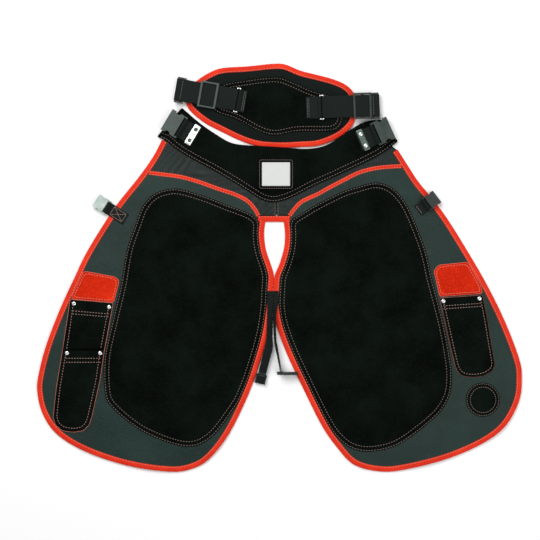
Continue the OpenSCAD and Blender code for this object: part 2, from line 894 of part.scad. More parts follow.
left_yoke();
right_yoke();
yoke_piping();
left_hip_panel();
right_hip_panel();
left_hip_suede();
right_hip_suede();
left_hip_binding();
right_hip_binding();
crotch_binding();
waistband();
waistband_lining();
label_patch();
label();
belt_webs();
rivet_plates();
belt_rivets();
thigh_tabs();
left_belt_socket();
right_belt_socket();
left_thigh_socket();
right_thigh_socket();
left_leg_panel();
left_leg_suede();
left_leg_binding();
left_red_patch();
left_pocket_backing();
left_upper_pocket();
left_lower_pocket();
left_pocket_rivets();
left_leg_strap();
left_leg_plug();
right_leg_panel();
right_leg_suede();
right_leg_binding();
right_red_patch();
right_pocket();
right_pocket_rivets();
magnet_cover();
magnet();
right_leg_strap();
right_leg_plug();
pad_backing();
pad_foam();
pad_mesh();
pad_panel();
pad_binding();
strap_tabs();
strap_loops();
left_back_strap();
right_back_strap();
left_tri_glide();
right_tri_glide();
left_belt_plug();
right_belt_plug();
left_plug_arm_a();
left_plug_arm_b();
right_plug_arm_a();
right_plug_arm_b();
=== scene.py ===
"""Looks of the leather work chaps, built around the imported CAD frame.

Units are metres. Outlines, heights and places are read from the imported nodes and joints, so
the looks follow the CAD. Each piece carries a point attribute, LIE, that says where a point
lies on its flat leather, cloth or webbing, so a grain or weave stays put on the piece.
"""

import json
import math

import bpy
import numpy as np
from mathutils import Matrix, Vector
from mathutils.geometry import delaunay_2d_cdt


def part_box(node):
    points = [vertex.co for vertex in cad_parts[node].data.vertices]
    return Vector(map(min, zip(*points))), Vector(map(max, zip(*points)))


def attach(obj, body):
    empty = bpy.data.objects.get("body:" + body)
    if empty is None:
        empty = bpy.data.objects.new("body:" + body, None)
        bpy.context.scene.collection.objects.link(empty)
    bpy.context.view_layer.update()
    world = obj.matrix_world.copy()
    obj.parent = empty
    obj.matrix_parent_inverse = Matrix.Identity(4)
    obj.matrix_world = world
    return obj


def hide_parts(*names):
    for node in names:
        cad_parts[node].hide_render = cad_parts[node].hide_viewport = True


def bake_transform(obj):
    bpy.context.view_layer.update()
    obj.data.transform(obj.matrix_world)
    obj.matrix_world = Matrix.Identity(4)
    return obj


MM = 0.001
LIE = "lie"
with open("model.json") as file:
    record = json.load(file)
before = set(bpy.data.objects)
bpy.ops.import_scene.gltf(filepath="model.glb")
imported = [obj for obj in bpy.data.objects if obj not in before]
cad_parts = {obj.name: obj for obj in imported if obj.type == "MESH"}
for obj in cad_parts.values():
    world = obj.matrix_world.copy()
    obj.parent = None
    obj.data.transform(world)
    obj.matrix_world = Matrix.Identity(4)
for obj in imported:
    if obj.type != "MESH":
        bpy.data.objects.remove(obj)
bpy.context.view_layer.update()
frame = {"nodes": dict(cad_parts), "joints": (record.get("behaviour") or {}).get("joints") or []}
NODES = frame["nodes"]
JOINTS = {j["name"]: j for j in frame["joints"]}
SIDES = ("left", "right")

# Where a leg folds up: the y of its fold joint, near which the leather's mesh is made finer
FOLD_Y = JOINTS["left_leg_fold"]["pos_m"][1]


# ---------------------------------------------------------------- outlines read from the CAD


def top_of(node):
    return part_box(node)[1].z


def bottom_of(node):
    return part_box(node)[0].z


def area(ring):
    x, y = ring[:, 0], ring[:, 1]
    return 0.5 * np.sum(x * np.roll(y, -1) - y * np.roll(x, -1))


def level_rings(node):
    """The outlines of a node's level top faces, largest first."""
    mesh = NODES[node].data
    co = np.round(np.array([v.co for v in mesh.vertices]), 6)
    z = co[:, 2].max()
    ids, points, same = {}, [], []
    for c in map(tuple, co):
        if c not in ids:
            ids[c] = len(points)
            points.append(c[:2])
        same.append(ids[c])
    half = set()
    for p in mesh.polygons:
        if p.normal.z > 0.99 and abs(p.center.z - z) < 0.02 * MM:
            v = [same[i] for i in p.vertices]
            half.update(zip(v, v[1:] + v[:1]))
    after = {a: b for a, b in sorted(half) if (b, a) not in half}
    rings = []
    while after:
        first, b = after.popitem()
        ring = [first]
        while b != first:
            ring.append(b)
            b = after.pop(b)
        rings.append(np.array([points[i] for i in ring]))
    return sorted(rings, key=lambda r: -area(r))


def opened(ring, y):
    """A closed outline opened along its straight cut at height y."""
    on = np.abs(ring[:, 1] - y) < 0.05 * MM
    last = [i for i in range(len(ring)) if on[i] and not on[(i + 1) % len(ring)]][0]
    ring, on = np.roll(ring, -last, 0), np.roll(on, -last)
    return ring[: 1 + next(i for i in range(1, len(ring)) if on[i])]


def joined(hip_node, leg_node):
    """The outline of a piece that the CAD cuts in two where the leg folds."""
    hip, leg = level_rings(hip_node)[0], level_rings(leg_node)[0]
    return np.vstack([opened(hip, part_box(hip_node)[0].y), opened(leg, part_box(leg_node)[1].y)])


def sides_of(ring, least=15 * MM):
    """The smooth long sides of a ribbon's outline, each in the outline's direction."""
    step = np.roll(ring, -1, 0) - ring
    turn = np.arctan2(step[:, 1], step[:, 0])
    bend = np.abs((turn - np.roll(turn, 1) + math.pi) % (2 * math.pi) - math.pi)
    corners = [i for i in range(len(ring)) if bend[i] > math.radians(50)]
    sides = []
    for a, b in zip(corners, corners[1:] + [corners[0] + len(ring)]):
        side = ring[np.arange(a, b + 1) % len(ring)]
        if length(side) > least:
            sides.append(side)
    return sides


def along(path):
    """The distance along a path at each of its points."""
    return np.concatenate([[0], np.cumsum(np.linalg.norm(np.diff(path, axis=0), axis=1))])


def length(path):
    return along(path)[-1]


def inside(points, ring):
    """Which points lie inside an outline."""
    x, y = points[:, 0, None], points[:, 1, None]
    a, b = ring, np.roll(ring, -1, 0)
    rise = np.where(b[:, 1] == a[:, 1], 1e-12, b[:, 1] - a[:, 1])
    crosses = (a[:, 1] > y) != (b[:, 1] > y)
    return np.sum(crosses & (x < a[:, 0] + (y - a[:, 1]) * (b[:, 0] - a[:, 0]) / rise), 1) % 2 == 1


def runs_on(first, then):
    """Whether one path goes straight on from the end of another."""
    a, b = first[-1] - first[-2], then[1] - then[0]
    straight = np.dot(a, b) > 0.7 * np.linalg.norm(a) * np.linalg.norm(b)
    return straight and np.linalg.norm(then[0] - first[-1]) < 5 * MM


def leg_edge(side):
    """A leg's outer edge, with the leather on its left, from the bindings."""
    leather = [
        level_rings(f"{side}_{part}")[0] for part in ("hip_panel", "leg_panel", "yoke")
    ]

    def outer(path):
        i = len(path) // 2
        t = path[i] - path[i - 1]
        probe = path[i] + 20 * MM * np.array([-t[1], t[0]]) / np.linalg.norm(t)
        return any(inside(probe[None], ring)[0] for ring in leather)

    leg = [s for s in sides_of(level_rings(f"{side}_leg_binding")[0]) if outer(s)][0]
    for ring in level_rings(f"{side}_hip_binding"):
        for hip in sides_of(ring, 5 * MM):
            if runs_on(hip, leg):
                leg = np.vstack([hip, leg])
            elif runs_on(leg, hip):
                leg = np.vstack([leg, hip])
    return leg


def softened(ring):
    return 0.25 * np.roll(ring, 1, 0) + 0.5 * ring + 0.25 * np.roll(ring, -1, 0)


def resample(path, step, closed=False):
    """Points at even distances along a path, with its kinks softened."""
    path = np.asarray(path, float)
    if closed:
        path = np.vstack([path, path[:1]])
    s = along(path)
    n = max(int(round(s[-1] / step)), 3)
    at = np.linspace(0, s[-1], n + 1)
    out = np.stack([np.interp(at, s, path[:, k]) for k in range(path.shape[1])], 1)
    if closed:
        return softened(out[:-1])
    out[1:-1] = softened(out)[1:-1]
    return out


def curve(points, steps):
    """A smooth open curve through points."""
    p = np.asarray(points, float)
    p = np.vstack([2 * p[0] - p[1], p, 2 * p[-1] - p[-2]])
    out = []
    for i in range(1, len(p) - 2):
        a, b, c, d = p[i - 1 : i + 3]
        for t in np.arange(steps) / steps:
            out.append(0.5 * (2 * b + (c - a) * t + (2 * a - 5 * b + 4 * c - d) * t**2
                              + (3 * b - a - 3 * c + d) * t**3))
    return np.array(out + [p[-2]])


def arc(centre, r, start, end, n=14):
    """Points round a circle from one angle to another, in degrees."""
    a = np.radians(np.linspace(start, end, n))
    return np.column_stack([centre[0] + r * np.cos(a), centre[1] + r * np.sin(a)])


def rounded(ring, radius, step=1.5 * MM):
    """A closed outline with its corners rounded."""
    out = resample(ring, step, True)
    for _ in range(int((radius / step) ** 2)):
        out = softened(out)
    return out


def tangents(path, closed):
    if closed:
        t = np.roll(path, -1, 0) - np.roll(path, 1, 0)
    else:
        t = np.gradient(path, axis=0)
    return t / np.linalg.norm(t, axis=1)[:, None]


def offset(path, d, closed=False):
    """A flat path moved to its left by d."""
    t = tangents(path[:, :2], closed)
    return path[:, :2] + d * np.stack([-t[:, 1], t[:, 0]], 1)


def distance(points, path, closed=False):
    """How far points are from a path."""
    a = path
    b = np.roll(path, -1, 0) if closed else path[1:]
    a = a if closed else a[:-1]
    best = np.full(len(points), 1e9)
    for i in range(0, len(a), 64):
        p, q = a[i : i + 64], b[i : i + 64]
        d = q - p
        t = np.einsum("nmk,mk->nm", points[:, None] - p, d) / np.maximum(
            np.einsum("mk,mk->m", d, d), 1e-18
        )
        near = p + np.clip(t, 0, 1)[..., None] * d
        best = np.minimum(best, np.linalg.norm(points[:, None] - near, axis=2).min(1))
    return best


def outline(node, step=3 * MM):
    """A node's largest outline at even steps."""
    return resample(level_rings(node)[0], step, True)


def box_ring(node):
    """The plan of a node's box."""
    low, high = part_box(node)
    return np.array([[low.x, low.y], [high.x, low.y], [high.x, high.y], [low.x, high.y]])


def smooth_step(x):
    x = np.clip(x, 0, 1)
    return x * x * (3 - 2 * x)


def lift(x, y):
    """How far the legs' leather stands off the floor: none at the waist and between the legs."""
    fade = smooth_step((50 * MM - y) / (90 * MM)) * smooth_step((np.abs(x) - 40 * MM) / (90 * MM))
    waves = (
        0.9 * np.sin(31 * x + 1.1) * np.cos(23 * y + 0.4)
        + 0.6 * np.sin(47 * x - 29 * y + 2.0)
        + 0.45 * np.sin(19 * x + 61 * y)
    )
    return fade * (1.7 + waves).clip(0) * MM


# ---------------------------------------------------------------- meshes


def linked(name, data):
    """A new object in the scene."""
    thing = bpy.data.objects.new(name, data)
    bpy.context.scene.collection.objects.link(thing)
    return thing


def make(name, parts, material):
    """A piece from (vertices, faces, lie)."""
    vertices, faces, lie = parts
    mesh = bpy.data.meshes.new(name)
    mesh.from_pydata(vertices.tolist(), [], [list(map(int, f)) for f in faces])
    mesh.validate()
    mesh.materials.append(material)
    mesh.shade_smooth()
    attribute = mesh.attributes.new(LIE, "FLOAT_VECTOR", "POINT")
    attribute.data.foreach_set("vector", lie.astype(np.float32).ravel())
    return linked(name, mesh)


def joined_mesh(parts):
    """Several (vertices, faces, lie) as one."""
    vertices, faces, lie, n = [], [], [], 0
    for v, f, where in parts:
        vertices.append(v)
        lie.append(where)
        faces += [[i + n for i in face] for face in f]
        n += len(v)
    return np.vstack(vertices), faces, np.vstack(lie)


FINE_PITCH, FINE_BAND = 2.6 * MM, 13 * MM


def filled(ring, step, dense):
    """Triangles that fill an outline, with points about step apart, and finer where dense says."""
    low, high = ring.min(0), ring.max(0)
    points = []
    for fine in (False, True) if dense else (False,):
        pitch = FINE_PITCH if fine else step
        rows = np.arange(low[1], high[1], pitch * 0.87)
        for k, y in enumerate(rows):
            if dense and fine != (abs(y - dense) < FINE_BAND):
                continue
            x = np.arange(low[0] + (k % 2) * pitch / 2, high[0], pitch)
            points.append(np.stack([x, np.full(len(x), y)], 1))
    points = np.vstack(points)
    points = points[inside(points, ring)]
    points = points[distance(points, ring, True) > 0.55 * min(step, 4 * MM)]
    n = len(ring)
    edges = [(i, (i + 1) % n) for i in range(n)]
    every = np.vstack([ring, points])
    out = delaunay_2d_cdt([tuple(p) for p in every], edges, [], 1, 1e-7)
    # Where an inset outline crosses itself, the crossing becomes the nearest outline point
    back = [
        o[0] if o else int(np.argmin(np.hypot(*(ring - p[:]).T))) for p, o in zip(out[0], out[3])
    ]
    faces = []
    for f in out[2]:
        a, b, c = (back[i] for i in f)
        if len({a, b, c}) < 3:
            continue
        u, v = every[b] - every[a], every[c] - every[a]
        faces.append((a, b, c) if u[0] * v[1] - u[1] * v[0] > 0 else (a, c, b))
    return every, faces


def layer(name, ring, z0, z1, material, step=8 * MM, edge=0.6 * MM, top=None, low=None,
          insets=(), dense=None):
    """A flat closed piece with rounded edges from height z0 to z1.

    top and low add a height at a point to its two faces, and insets are (distance, height)
    pairs that shape a rim inside the edge."""
    rings = [(edge, z0, low), (0, z0 + edge, low), (0, z1 - edge, top), (edge, z1, top)]
    rings += [(d, z1 + h, top) for d, h in insets]
    n = len(ring)

    def raised_to(p, z, extra):
        return np.column_stack([p, z + lift(*p.T) + (extra(*p.T) if extra else 0)])

    vertices = [raised_to(offset(ring, d, True) if d else ring, z, extra) for d, z, extra in rings]
    faces = [
        (k * n + i, k * n + (i + 1) % n, (k + 1) * n + (i + 1) % n, (k + 1) * n + i)
        for k in range(len(rings) - 1)
        for i in range(n)
    ]
    for k, up in ((len(rings) - 1, True), (0, False)):
        flat, triangles = filled(vertices[k][:, :2], step, dense)
        start = sum(map(len, vertices))
        vertices.append(raised_to(flat[n:], *rings[k][1:]))
        for t in triangles:
            t = [k * n + i if i < n else start + i - n for i in t]
            faces.append(t if up else t[::-1])
    vertices = np.vstack(vertices)
    return make(name, (vertices, faces, vertices), material)


def sweep(path, profile, closed=False, side=None, up=None):
    """A closed (across, up) profile swept along a path, as (vertices, faces, lie).

    Across points to the path's left in plan, unless side and up say otherwise."""
    path = np.asarray(path, float)
    if path.shape[1] == 2:
        path = np.column_stack([path, np.zeros(len(path))])
    if side is None:
        t = tangents(path[:, :2], closed)
        side = np.column_stack([-t[:, 1], t[:, 0], np.zeros(len(t))])
        up = np.broadcast_to([0, 0, 1.0], path.shape)
    profile = np.asarray(profile, float)
    n, m = len(path), len(profile)
    vertices = (
        path[:, None] + profile[None, :, :1] * side[:, None] + profile[None, :, 1:] * up[:, None]
    )
    lie = np.zeros_like(vertices)
    lie[..., 0] = along(path)[:, None]
    lie[..., 1:] = profile
    faces = []
    for i in range(n if closed else n - 1):
        a, b = i * m, ((i + 1) % n) * m
        faces += [(a + j, b + j, b + (j + 1) % m, a + (j + 1) % m) for j in range(m)]
    if not closed:
        faces += [list(range(m)), list(range((n - 1) * m, n * m))[::-1]]
    vertices = vertices.reshape(-1, 3)
    if volume(vertices, faces) < 0:
        faces = [list(f)[::-1] for f in faces]
    return vertices, faces, lie.reshape(-1, 3)


def volume(v, faces):
    total = 0.0
    for f in faces:
        for i in range(1, len(f) - 1):
            total += np.dot(v[f[0]], np.cross(v[f[i]], v[f[i + 1]]))
    return total / 6


def raised(parts):
    """(vertices, faces, lie) lifted with the leather below."""
    v, f, where = parts
    v = v.copy()
    v[:, 2] += lift(v[:, 0], v[:, 1])
    return v, f, where


def slab_profile(width, thickness):
    """The section of a strap: flat faces and rounded selvedges."""
    w, t = width / 2, thickness / 2
    y = np.linspace(-w + t, w - t, 6)
    bow = [(-w, 0), (-w + 0.3 * t, t * 0.75)]
    bow += [(v, t) for v in y] + [(w - 0.3 * t, t * 0.75), (w, 0)]
    return bow + [(a, -b) for a, b in bow[-2:0:-1]]


STITCH_SHARE = 0.66


def stitch_row(path, z, closed=False, pitch=5.6 * MM, thread=0.58 * MM):
    """A row of stitches along a flat path, as (vertices, faces, lie). z is a height or a function."""
    points = resample(path, pitch, closed)
    ends = np.roll(points, -1, 0) if closed else points[1:]
    starts = points if closed else points[:-1]
    middle = (starts + ends) / 2
    t = ends - starts
    long = np.linalg.norm(t, axis=1)[:, None]
    t = t / long
    left = np.stack([-t[:, 1], t[:, 0]], 1)
    half = STITCH_SHARE * long / 2
    height = (z(*middle.T) if callable(z) else z) + lift(*middle.T)
    ring = [(math.cos(a), math.sin(a)) for a in np.arange(5) * 2 * math.pi / 5 + 0.3]
    shape = [(-1, 0, -0.5)] + [(-0.62, c, s) for c, s in ring]
    shape += [(0.62, c, s) for c, s in ring] + [(1, 0, -0.5)]
    rows = []
    for along, across, high in shape:
        p = middle + along * half * t + across * thread * left
        rows.append(np.column_stack([p, height + high * thread * 0.8]))
    vertices = np.stack(rows, 1)
    faces = []
    for k in range(len(middle)):
        n = 12 * k
        for j in range(5):
            i = (j + 1) % 5
            faces += [(n, n + 1 + i, n + 1 + j), (n + 11, n + 6 + j, n + 6 + i)]
            faces.append((n + 1 + j, n + 1 + i, n + 6 + i, n + 6 + j))
    vertices = vertices.reshape(-1, 3)
    return vertices, faces, vertices


def turned(profile, centre, n):
    """A (radius, height) profile turned about the upright through centre."""
    a = np.arange(n) * 2 * math.pi / n
    m = len(profile)
    vertices = [
        (centre[0] + r * math.cos(t), centre[1] + r * math.sin(t), centre[2] + h)
        for t in a
        for r, h in profile
    ]
    faces = [
        (i * m + j, ((i + 1) % n) * m + j, ((i + 1) % n) * m + j + 1, i * m + j + 1)
        for i in range(n)
        for j in range(m - 1)
    ]
    for j, up in ((0, False), (m - 1, True)):
        cap = [i * m + j for i in range(n)]
        faces.append(cap if up else cap[::-1])
    vertices = np.array(vertices)
    return vertices, faces, vertices


# ---------------------------------------------------------------- materials


def node(tree, kind, inputs=None, **settings):
    """A shader node. Each input is a value, or another node or output to link."""
    n = tree.nodes.new(kind)
    for key, value in settings.items():
        setattr(n, key, value)
    for key, value in (inputs or {}).items():
        if isinstance(value, bpy.types.Node):
            value = value.outputs[0]
        if isinstance(value, bpy.types.NodeSocket):
            tree.links.new(value, n.inputs[key])
        else:
            n.inputs[key].default_value = value
    return n


def blank(name, roughness=0.5, metallic=0.0, specular=0.5, sheen=0.0):
    """A new material and its tree."""
    material = bpy.data.materials.new(name)
    material.use_nodes = True
    inputs = material.node_tree.nodes["Principled BSDF"].inputs
    for key, value in (
        ("Roughness", roughness), ("Metallic", metallic), ("Specular IOR Level", specular),
        ("Sheen Weight", sheen), ("Sheen Roughness", 0.6),
    ):
        inputs[key].default_value = value
    return material, material.node_tree


def finished(material, colour, *bumps, roughness=None):
    """Links a colour, a roughness and (height, strength, depth) bumps laid over each other."""
    tree = material.node_tree
    inputs = tree.nodes["Principled BSDF"].inputs
    tree.links.new(colour, inputs["Base Color"])
    if roughness:
        tree.links.new(roughness, inputs["Roughness"])
    last = {}
    for height, strength, depth in bumps:
        over = {"Height": height, "Strength": strength, "Distance": depth, **last}
        last = {"Normal": node(tree, "ShaderNodeBump", over).outputs[0]}
    if last:
        tree.links.new(last["Normal"], inputs["Normal"])
    return material


def where(tree):
    return node(tree, "ShaderNodeAttribute", attribute_name=LIE).outputs["Vector"]


def noise(tree, at, scale, detail=3.0, rough=0.55):
    return node(
        tree, "ShaderNodeTexNoise",
        {"Vector": at, "Scale": scale, "Detail": detail, "Roughness": rough},
    ).outputs["Fac"]


def math_of(tree, operation, a, b=0.0):
    return node(tree, "ShaderNodeMath", {0: a, 1: b}, operation=operation).outputs[0]


def waves(tree, along, pitch):
    turns = math_of(tree, "MULTIPLY", along, 2 * math.pi / pitch)
    return math_of(tree, "SINE", turns)


def times(colour, k):
    return [c * k for c in colour]


def ramp(tree, factor, low, high, dark, light):
    """Maps a factor from low..high to dark..light, which are colours or numbers."""
    if isinstance(dark, (int, float)):
        return node(
            tree, "ShaderNodeMapRange",
            {"Value": factor, "From Min": low, "From Max": high, "To Min": dark, "To Max": light},
        ).outputs[0]
    return mixed(tree, ramp(tree, factor, low, high, 0.0, 1.0), (*dark, 1), (*light, 1))


def mixed(tree, share, a, b):
    return node(tree, "ShaderNodeMix", {0: share, 6: a, 7: b}, data_type="RGBA").outputs[2]


def tinted(tree, tone, factor, low, high, shares, colour):
    """A tone with a share of a colour that follows a factor from low to high."""
    return mixed(tree, ramp(tree, factor, low, high, *shares), tone, (*colour, 1))


def leather(name, dark, light, worn):
    """Grained leather: pebbles, pores, creases and a patchy sheen."""
    material, tree = blank(name, specular=0.24)
    at = where(tree)
    patches = noise(tree, at, 9.0, 4.0)
    grain = node(
        tree, "ShaderNodeTexVoronoi", {"Vector": at, "Scale": 520.0}, feature="DISTANCE_TO_EDGE"
    ).outputs["Distance"]
    fine = noise(tree, at, 900.0, 2.0)
    creases = noise(tree, at, 42.0, 6.0, 0.62)
    tone = ramp(tree, patches, 0.35, 0.68, dark, light)
    edge = ramp(tree, grain, 0.0, 0.09, 0.55, 1.0)
    tone = tinted(tree, tone, edge, 0.5, 1.0, (0.5, 0.0), times(dark, 0.5))
    tone = tinted(tree, tone, creases, 0.6, 0.8, (0.0, 0.35), worn)
    pebbles = ramp(tree, grain, 0.0, 0.14, 0.0, 1.0)
    return finished(
        material, tone, (creases, 0.35, 2.0 * MM), (pebbles, 0.5, 0.25 * MM), (fine, 0.25, 0.1 * MM),
        roughness=ramp(tree, creases, 0.3, 0.75, 0.5, 0.36),
    )


def suede(name, dark, light, fuzz=0.02):
    """Split leather: a short nap, brushed in patches."""
    material, tree = blank(name, roughness=0.92, specular=0.04, sheen=fuzz)
    tint = (*[min(1, c * 6 + 0.1) for c in light], 1)
    tree.nodes["Principled BSDF"].inputs["Sheen Tint"].default_value = tint
    at = where(tree)
    nap = noise(tree, at, 1400.0, 2.0, 0.7)
    brushed = noise(tree, at, 14.0, 5.0, 0.6)
    fleck = noise(tree, at, 260.0, 3.0, 0.7)
    tone = ramp(tree, brushed, 0.36, 0.66, dark, light)
    tone = tinted(tree, tone, fleck, 0.5, 0.75, (0.0, 0.5), times(light, 1.9))
    return finished(
        material, tone, (brushed, 0.25, 1.6 * MM), (fleck, 0.3, 0.35 * MM), (nap, 0.35, 0.15 * MM)
    )


def tape(name, dark, light):
    """Woven binding tape: fine ribs across it and a slightly faded look."""
    material, tree = blank(name, roughness=0.66, specular=0.16, sheen=0.04)
    at = where(tree)
    ribs = node(
        tree, "ShaderNodeTexWave",
        {"Vector": at, "Scale": 190.0, "Distortion": 0.6, "Detail": 1.0},
        wave_type="BANDS", bands_direction="X",
    ).outputs["Fac"]
    patches = noise(tree, at, 30.0, 4.0)
    tone = ramp(tree, patches, 0.3, 0.7, dark, light)
    tone = tinted(tree, tone, ribs, 0.0, 1.0, (0.16, 0.0), times(dark, 0.55))
    return finished(material, tone, (patches, 0.3, 0.8 * MM), (ribs, 0.35, 0.25 * MM))


def web(name, dark, light):
    """Woven webbing: a herringbone of fine yarns along the strap."""
    material, tree = blank(name, roughness=0.6, specular=0.14, sheen=0.02)
    at = where(tree)
    along, across = node(tree, "ShaderNodeSeparateXYZ", {0: at}).outputs[:2]
    zigzag = math_of(tree, "PINGPONG", across, 2.4 * MM)
    slope = math_of(tree, "ADD", along, math_of(tree, "MULTIPLY", zigzag, 0.8))
    yarn = math_of(tree, "MULTIPLY", waves(tree, slope, 1.6 * MM), 0.6)
    wale = math_of(tree, "MULTIPLY", waves(tree, across, 1.2 * MM), 0.4)
    weave = math_of(tree, "ADD", yarn, wale)
    tone = ramp(tree, weave, -0.8, 0.9, dark, light)
    tone = tinted(tree, tone, noise(tree, at, 60.0, 3.0), 0.4, 0.7, (0.0, 0.3), light)
    return finished(material, tone, (weave, 0.5, 0.3 * MM))


def spacer_mesh(name, dark, light, rib=3.4 * MM):
    """Knitted spacer mesh: ribs that follow the edge, with rows of small open holes."""
    material, tree = blank(name, roughness=0.75, specular=0.1, sheen=0.02)
    at = where(tree)
    along, inwards = node(tree, "ShaderNodeSeparateXYZ", {0: at}).outputs[:2]
    holes = math_of(tree, "MULTIPLY", waves(tree, along, rib), waves(tree, inwards, rib / 2))
    knit = math_of(tree, "ADD", waves(tree, inwards, rib), math_of(tree, "MULTIPLY", holes, 0.6))
    fuzz = noise(tree, at, 380.0, 2.0)
    tone = ramp(tree, knit, -0.7, 1.1, dark, light)
    tone = tinted(tree, tone, fuzz, 0.55, 0.8, (0.0, 0.5), light)
    return finished(material, tone, (knit, 0.6, 0.7 * MM), (fuzz, 0.3, 0.2 * MM))


def plastic(name, dark, light, roughness=0.34):
    """Moulded nylon: a fine spark texture with a soft gloss."""
    material, tree = blank(name)
    at = node(tree, "ShaderNodeTexCoord").outputs["Object"]
    patches = noise(tree, at, 60.0, 3.0)
    return finished(
        material, ramp(tree, patches, 0.35, 0.7, dark, light),
        (noise(tree, at, 2600.0, 2.0), 0.15, 0.06 * MM),
        roughness=ramp(tree, patches, 0.3, 0.7, roughness, roughness + 0.12),
    )


def metal(name, dark, light, roughness=0.24):
    """Plated steel: fine scratches and a few dull spots."""
    material, tree = blank(name, metallic=1.0)
    at = node(tree, "ShaderNodeTexCoord").outputs["Object"]
    stretched = node(
        tree, "ShaderNodeMapping", {"Vector": at, "Scale": (300.0, 2600.0, 300.0)}
    ).outputs[0]
    scratches = noise(tree, stretched, 1.0, 3.0)
    return finished(
        material, ramp(tree, noise(tree, at, 240.0, 4.0), 0.4, 0.75, light, dark),
        (scratches, 0.12, 0.05 * MM),
        roughness=ramp(tree, scratches, 0.3, 0.7, roughness, roughness + 0.16),
    )


def thread(name, colour):
    material, tree = blank(name, roughness=0.55, specular=0.3, sheen=0.2)
    twist = noise(tree, where(tree), 1500.0, 1.0)
    return finished(material, ramp(tree, twist, 0.3, 0.7, times(colour, 0.6), colour))


def woven_label(name, colour):
    material, tree = blank(name, roughness=0.55, specular=0.35)
    at = where(tree)
    threads = [
        node(
            tree, "ShaderNodeTexWave", {"Vector": at, "Scale": 320.0, "Distortion": 0.3},
            bands_direction=axis,
        ).outputs["Fac"]
        for axis in "XY"
    ]
    weave = math_of(tree, "MULTIPLY", *threads)
    tone = ramp(tree, weave, 0.0, 1.0, times(colour, 0.86), colour)
    return finished(material, tone, (weave, 0.3, 0.15 * MM))


CHARCOAL = leather(
    "charcoal_leather", (0.0030, 0.016, 0.0120), (0.0060, 0.025, 0.0200), (0.018, 0.043, 0.036)
)
YOKE = leather("yoke_leather", (0.0013, 0.006, 0.0048), (0.0036, 0.015, 0.0120), (0.016, 0.040, 0.033))
BLACK = suede("black_suede", (0.0007, 0.0015, 0.0010), (0.0030, 0.0054, 0.0039), 0.015)
RED_SUEDE = suede("red_suede", (0.44, 0.014, 0.003), (0.57, 0.023, 0.005))
RED_EDGE = suede("pink_cut_edge", (0.50, 0.13, 0.10), (0.66, 0.22, 0.17))
RED = tape("red_tape", (0.60, 0.016, 0.002), (0.74, 0.030, 0.006))
WEB = web("black_webbing", (0.0008, 0.0026, 0.0018), (0.0034, 0.0086, 0.0066))
MESH = spacer_mesh("black_mesh", (0.0006, 0.0016, 0.0012), (0.0065, 0.0135, 0.0112))
# NYLON, MID_NYLON and DARK_NYLON are one grey nylon in lighter and darker copies: the left belt socket
# and left tri-glide take the lighter ones as painted light, their right twins the darker ones as
# painted shade
NYLON = plastic("grey_nylon", (0.012, 0.026, 0.020), (0.028, 0.050, 0.040))
MID_NYLON = plastic("mid_nylon", (0.009, 0.019, 0.015), (0.019, 0.035, 0.028))
DARK_NYLON = plastic("dark_nylon", (0.004, 0.008, 0.0065), (0.010, 0.017, 0.014))
PALE_NYLON = plastic("pale_nylon", (0.30, 0.38, 0.34), (0.48, 0.55, 0.51), 0.26)
STEEL = metal("plated_steel", (0.60, 0.63, 0.61), (0.92, 0.94, 0.92))
DULL_STEEL = metal("dull_steel", (0.05, 0.07, 0.06), (0.12, 0.16, 0.14), 0.34)
THREAD = thread("dusty_thread", (0.46, 0.27, 0.23))
DIM_THREAD = thread("worn_thread", (0.26, 0.17, 0.145))
GREY_THREAD = thread("grey_thread", (0.14, 0.15, 0.13))
RED_THREAD = thread("orange_thread", (0.90, 0.30, 0.18))
LABEL = woven_label("white_label", (0.64, 0.65, 0.63))


# ---------------------------------------------------------------- how pieces are held


def riding(piece, body, slot=None, *nodes):
    """A piece that rides on a body, if one is given, and stands for nodes, which it hides. slot is not
    used.
    """
    if body:
        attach(piece, body)
    if nodes:
        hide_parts(*nodes)
    return piece


def sewn(name, body, slot_name, rows, material):
    """Rows of stitches as one piece."""
    return riding(make(name, joined_mesh(rows), material), body, slot_name)


# ---------------------------------------------------------------- the legs

EDGE_U, EDGE_TOP = 11 * MM, top_of("left_leg_binding")
PANEL_LOW, PANEL_TOP = bottom_of("left_leg_panel"), top_of("left_leg_panel")
SUEDE_TOP = top_of("left_leg_suede")


def tape_profile(width, top, hold_low, hold_top):
    """The section of a tape folded over an edge that holds a layer from hold_low to hold_top."""
    crown, tuck = 0.25 * MM, 1.5 * MM
    return [
        (width, hold_top + 0.1 * MM), (width - 0.3 * MM, top - 0.1 * MM),
        (0.75 * width, top + 0.6 * crown), (0.5 * width, top + crown), (0.25 * width, top),
        (1.0 * MM, top - 0.5 * MM), (0.2 * MM, 0.75 * top), (0, 0.5 * top), (0.2 * MM, 0.25 * top),
        (1.0 * MM, 0.1 * MM), (0.3 * width, 0), (width - 0.3 * MM, 0), (width, hold_low - 0.1 * MM),
        (0.6 * width, hold_low - 0.02 * MM), (tuck, hold_low), (tuck, hold_top),
        (0.6 * width, hold_top + 0.02 * MM),
    ]


def laid(piece, ring, **more):
    """Returns the piece as it is; the outline is not used."""
    return piece


def bend_with_leg(piece):
    """Bakes the piece's placing into its mesh."""
    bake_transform(piece)
    return piece


def knee_crease(x, y):
    """The faint oval that a knee has pressed into the left leg's suede."""
    r = np.hypot((x + 0.125) / 0.105, (y + 0.075) / 0.150)
    return -0.8 * MM * np.exp(-(((r - 1) / 0.035) ** 2)) + 0.5 * MM * smooth_step(1.1 - r)


def rubbed(x, y):
    """Soft dents in the right leg's suede."""
    return 0.5 * MM * np.sin(70 * x + 1.0) * np.sin(52 * y) * smooth_step((0.1 - y) / 0.1)


SEWN_ROWS = (2.4 * MM, 10.2 * MM)
SEWN_INSETS = (
    (SEWN_ROWS[0], -0.35 * MM), (4.4 * MM, 0.05 * MM), (8.2 * MM, 0.05 * MM),
    (SEWN_ROWS[1], -0.35 * MM), (12.4 * MM, 0.1 * MM),
)
CUT_STEP = 3.2 * MM
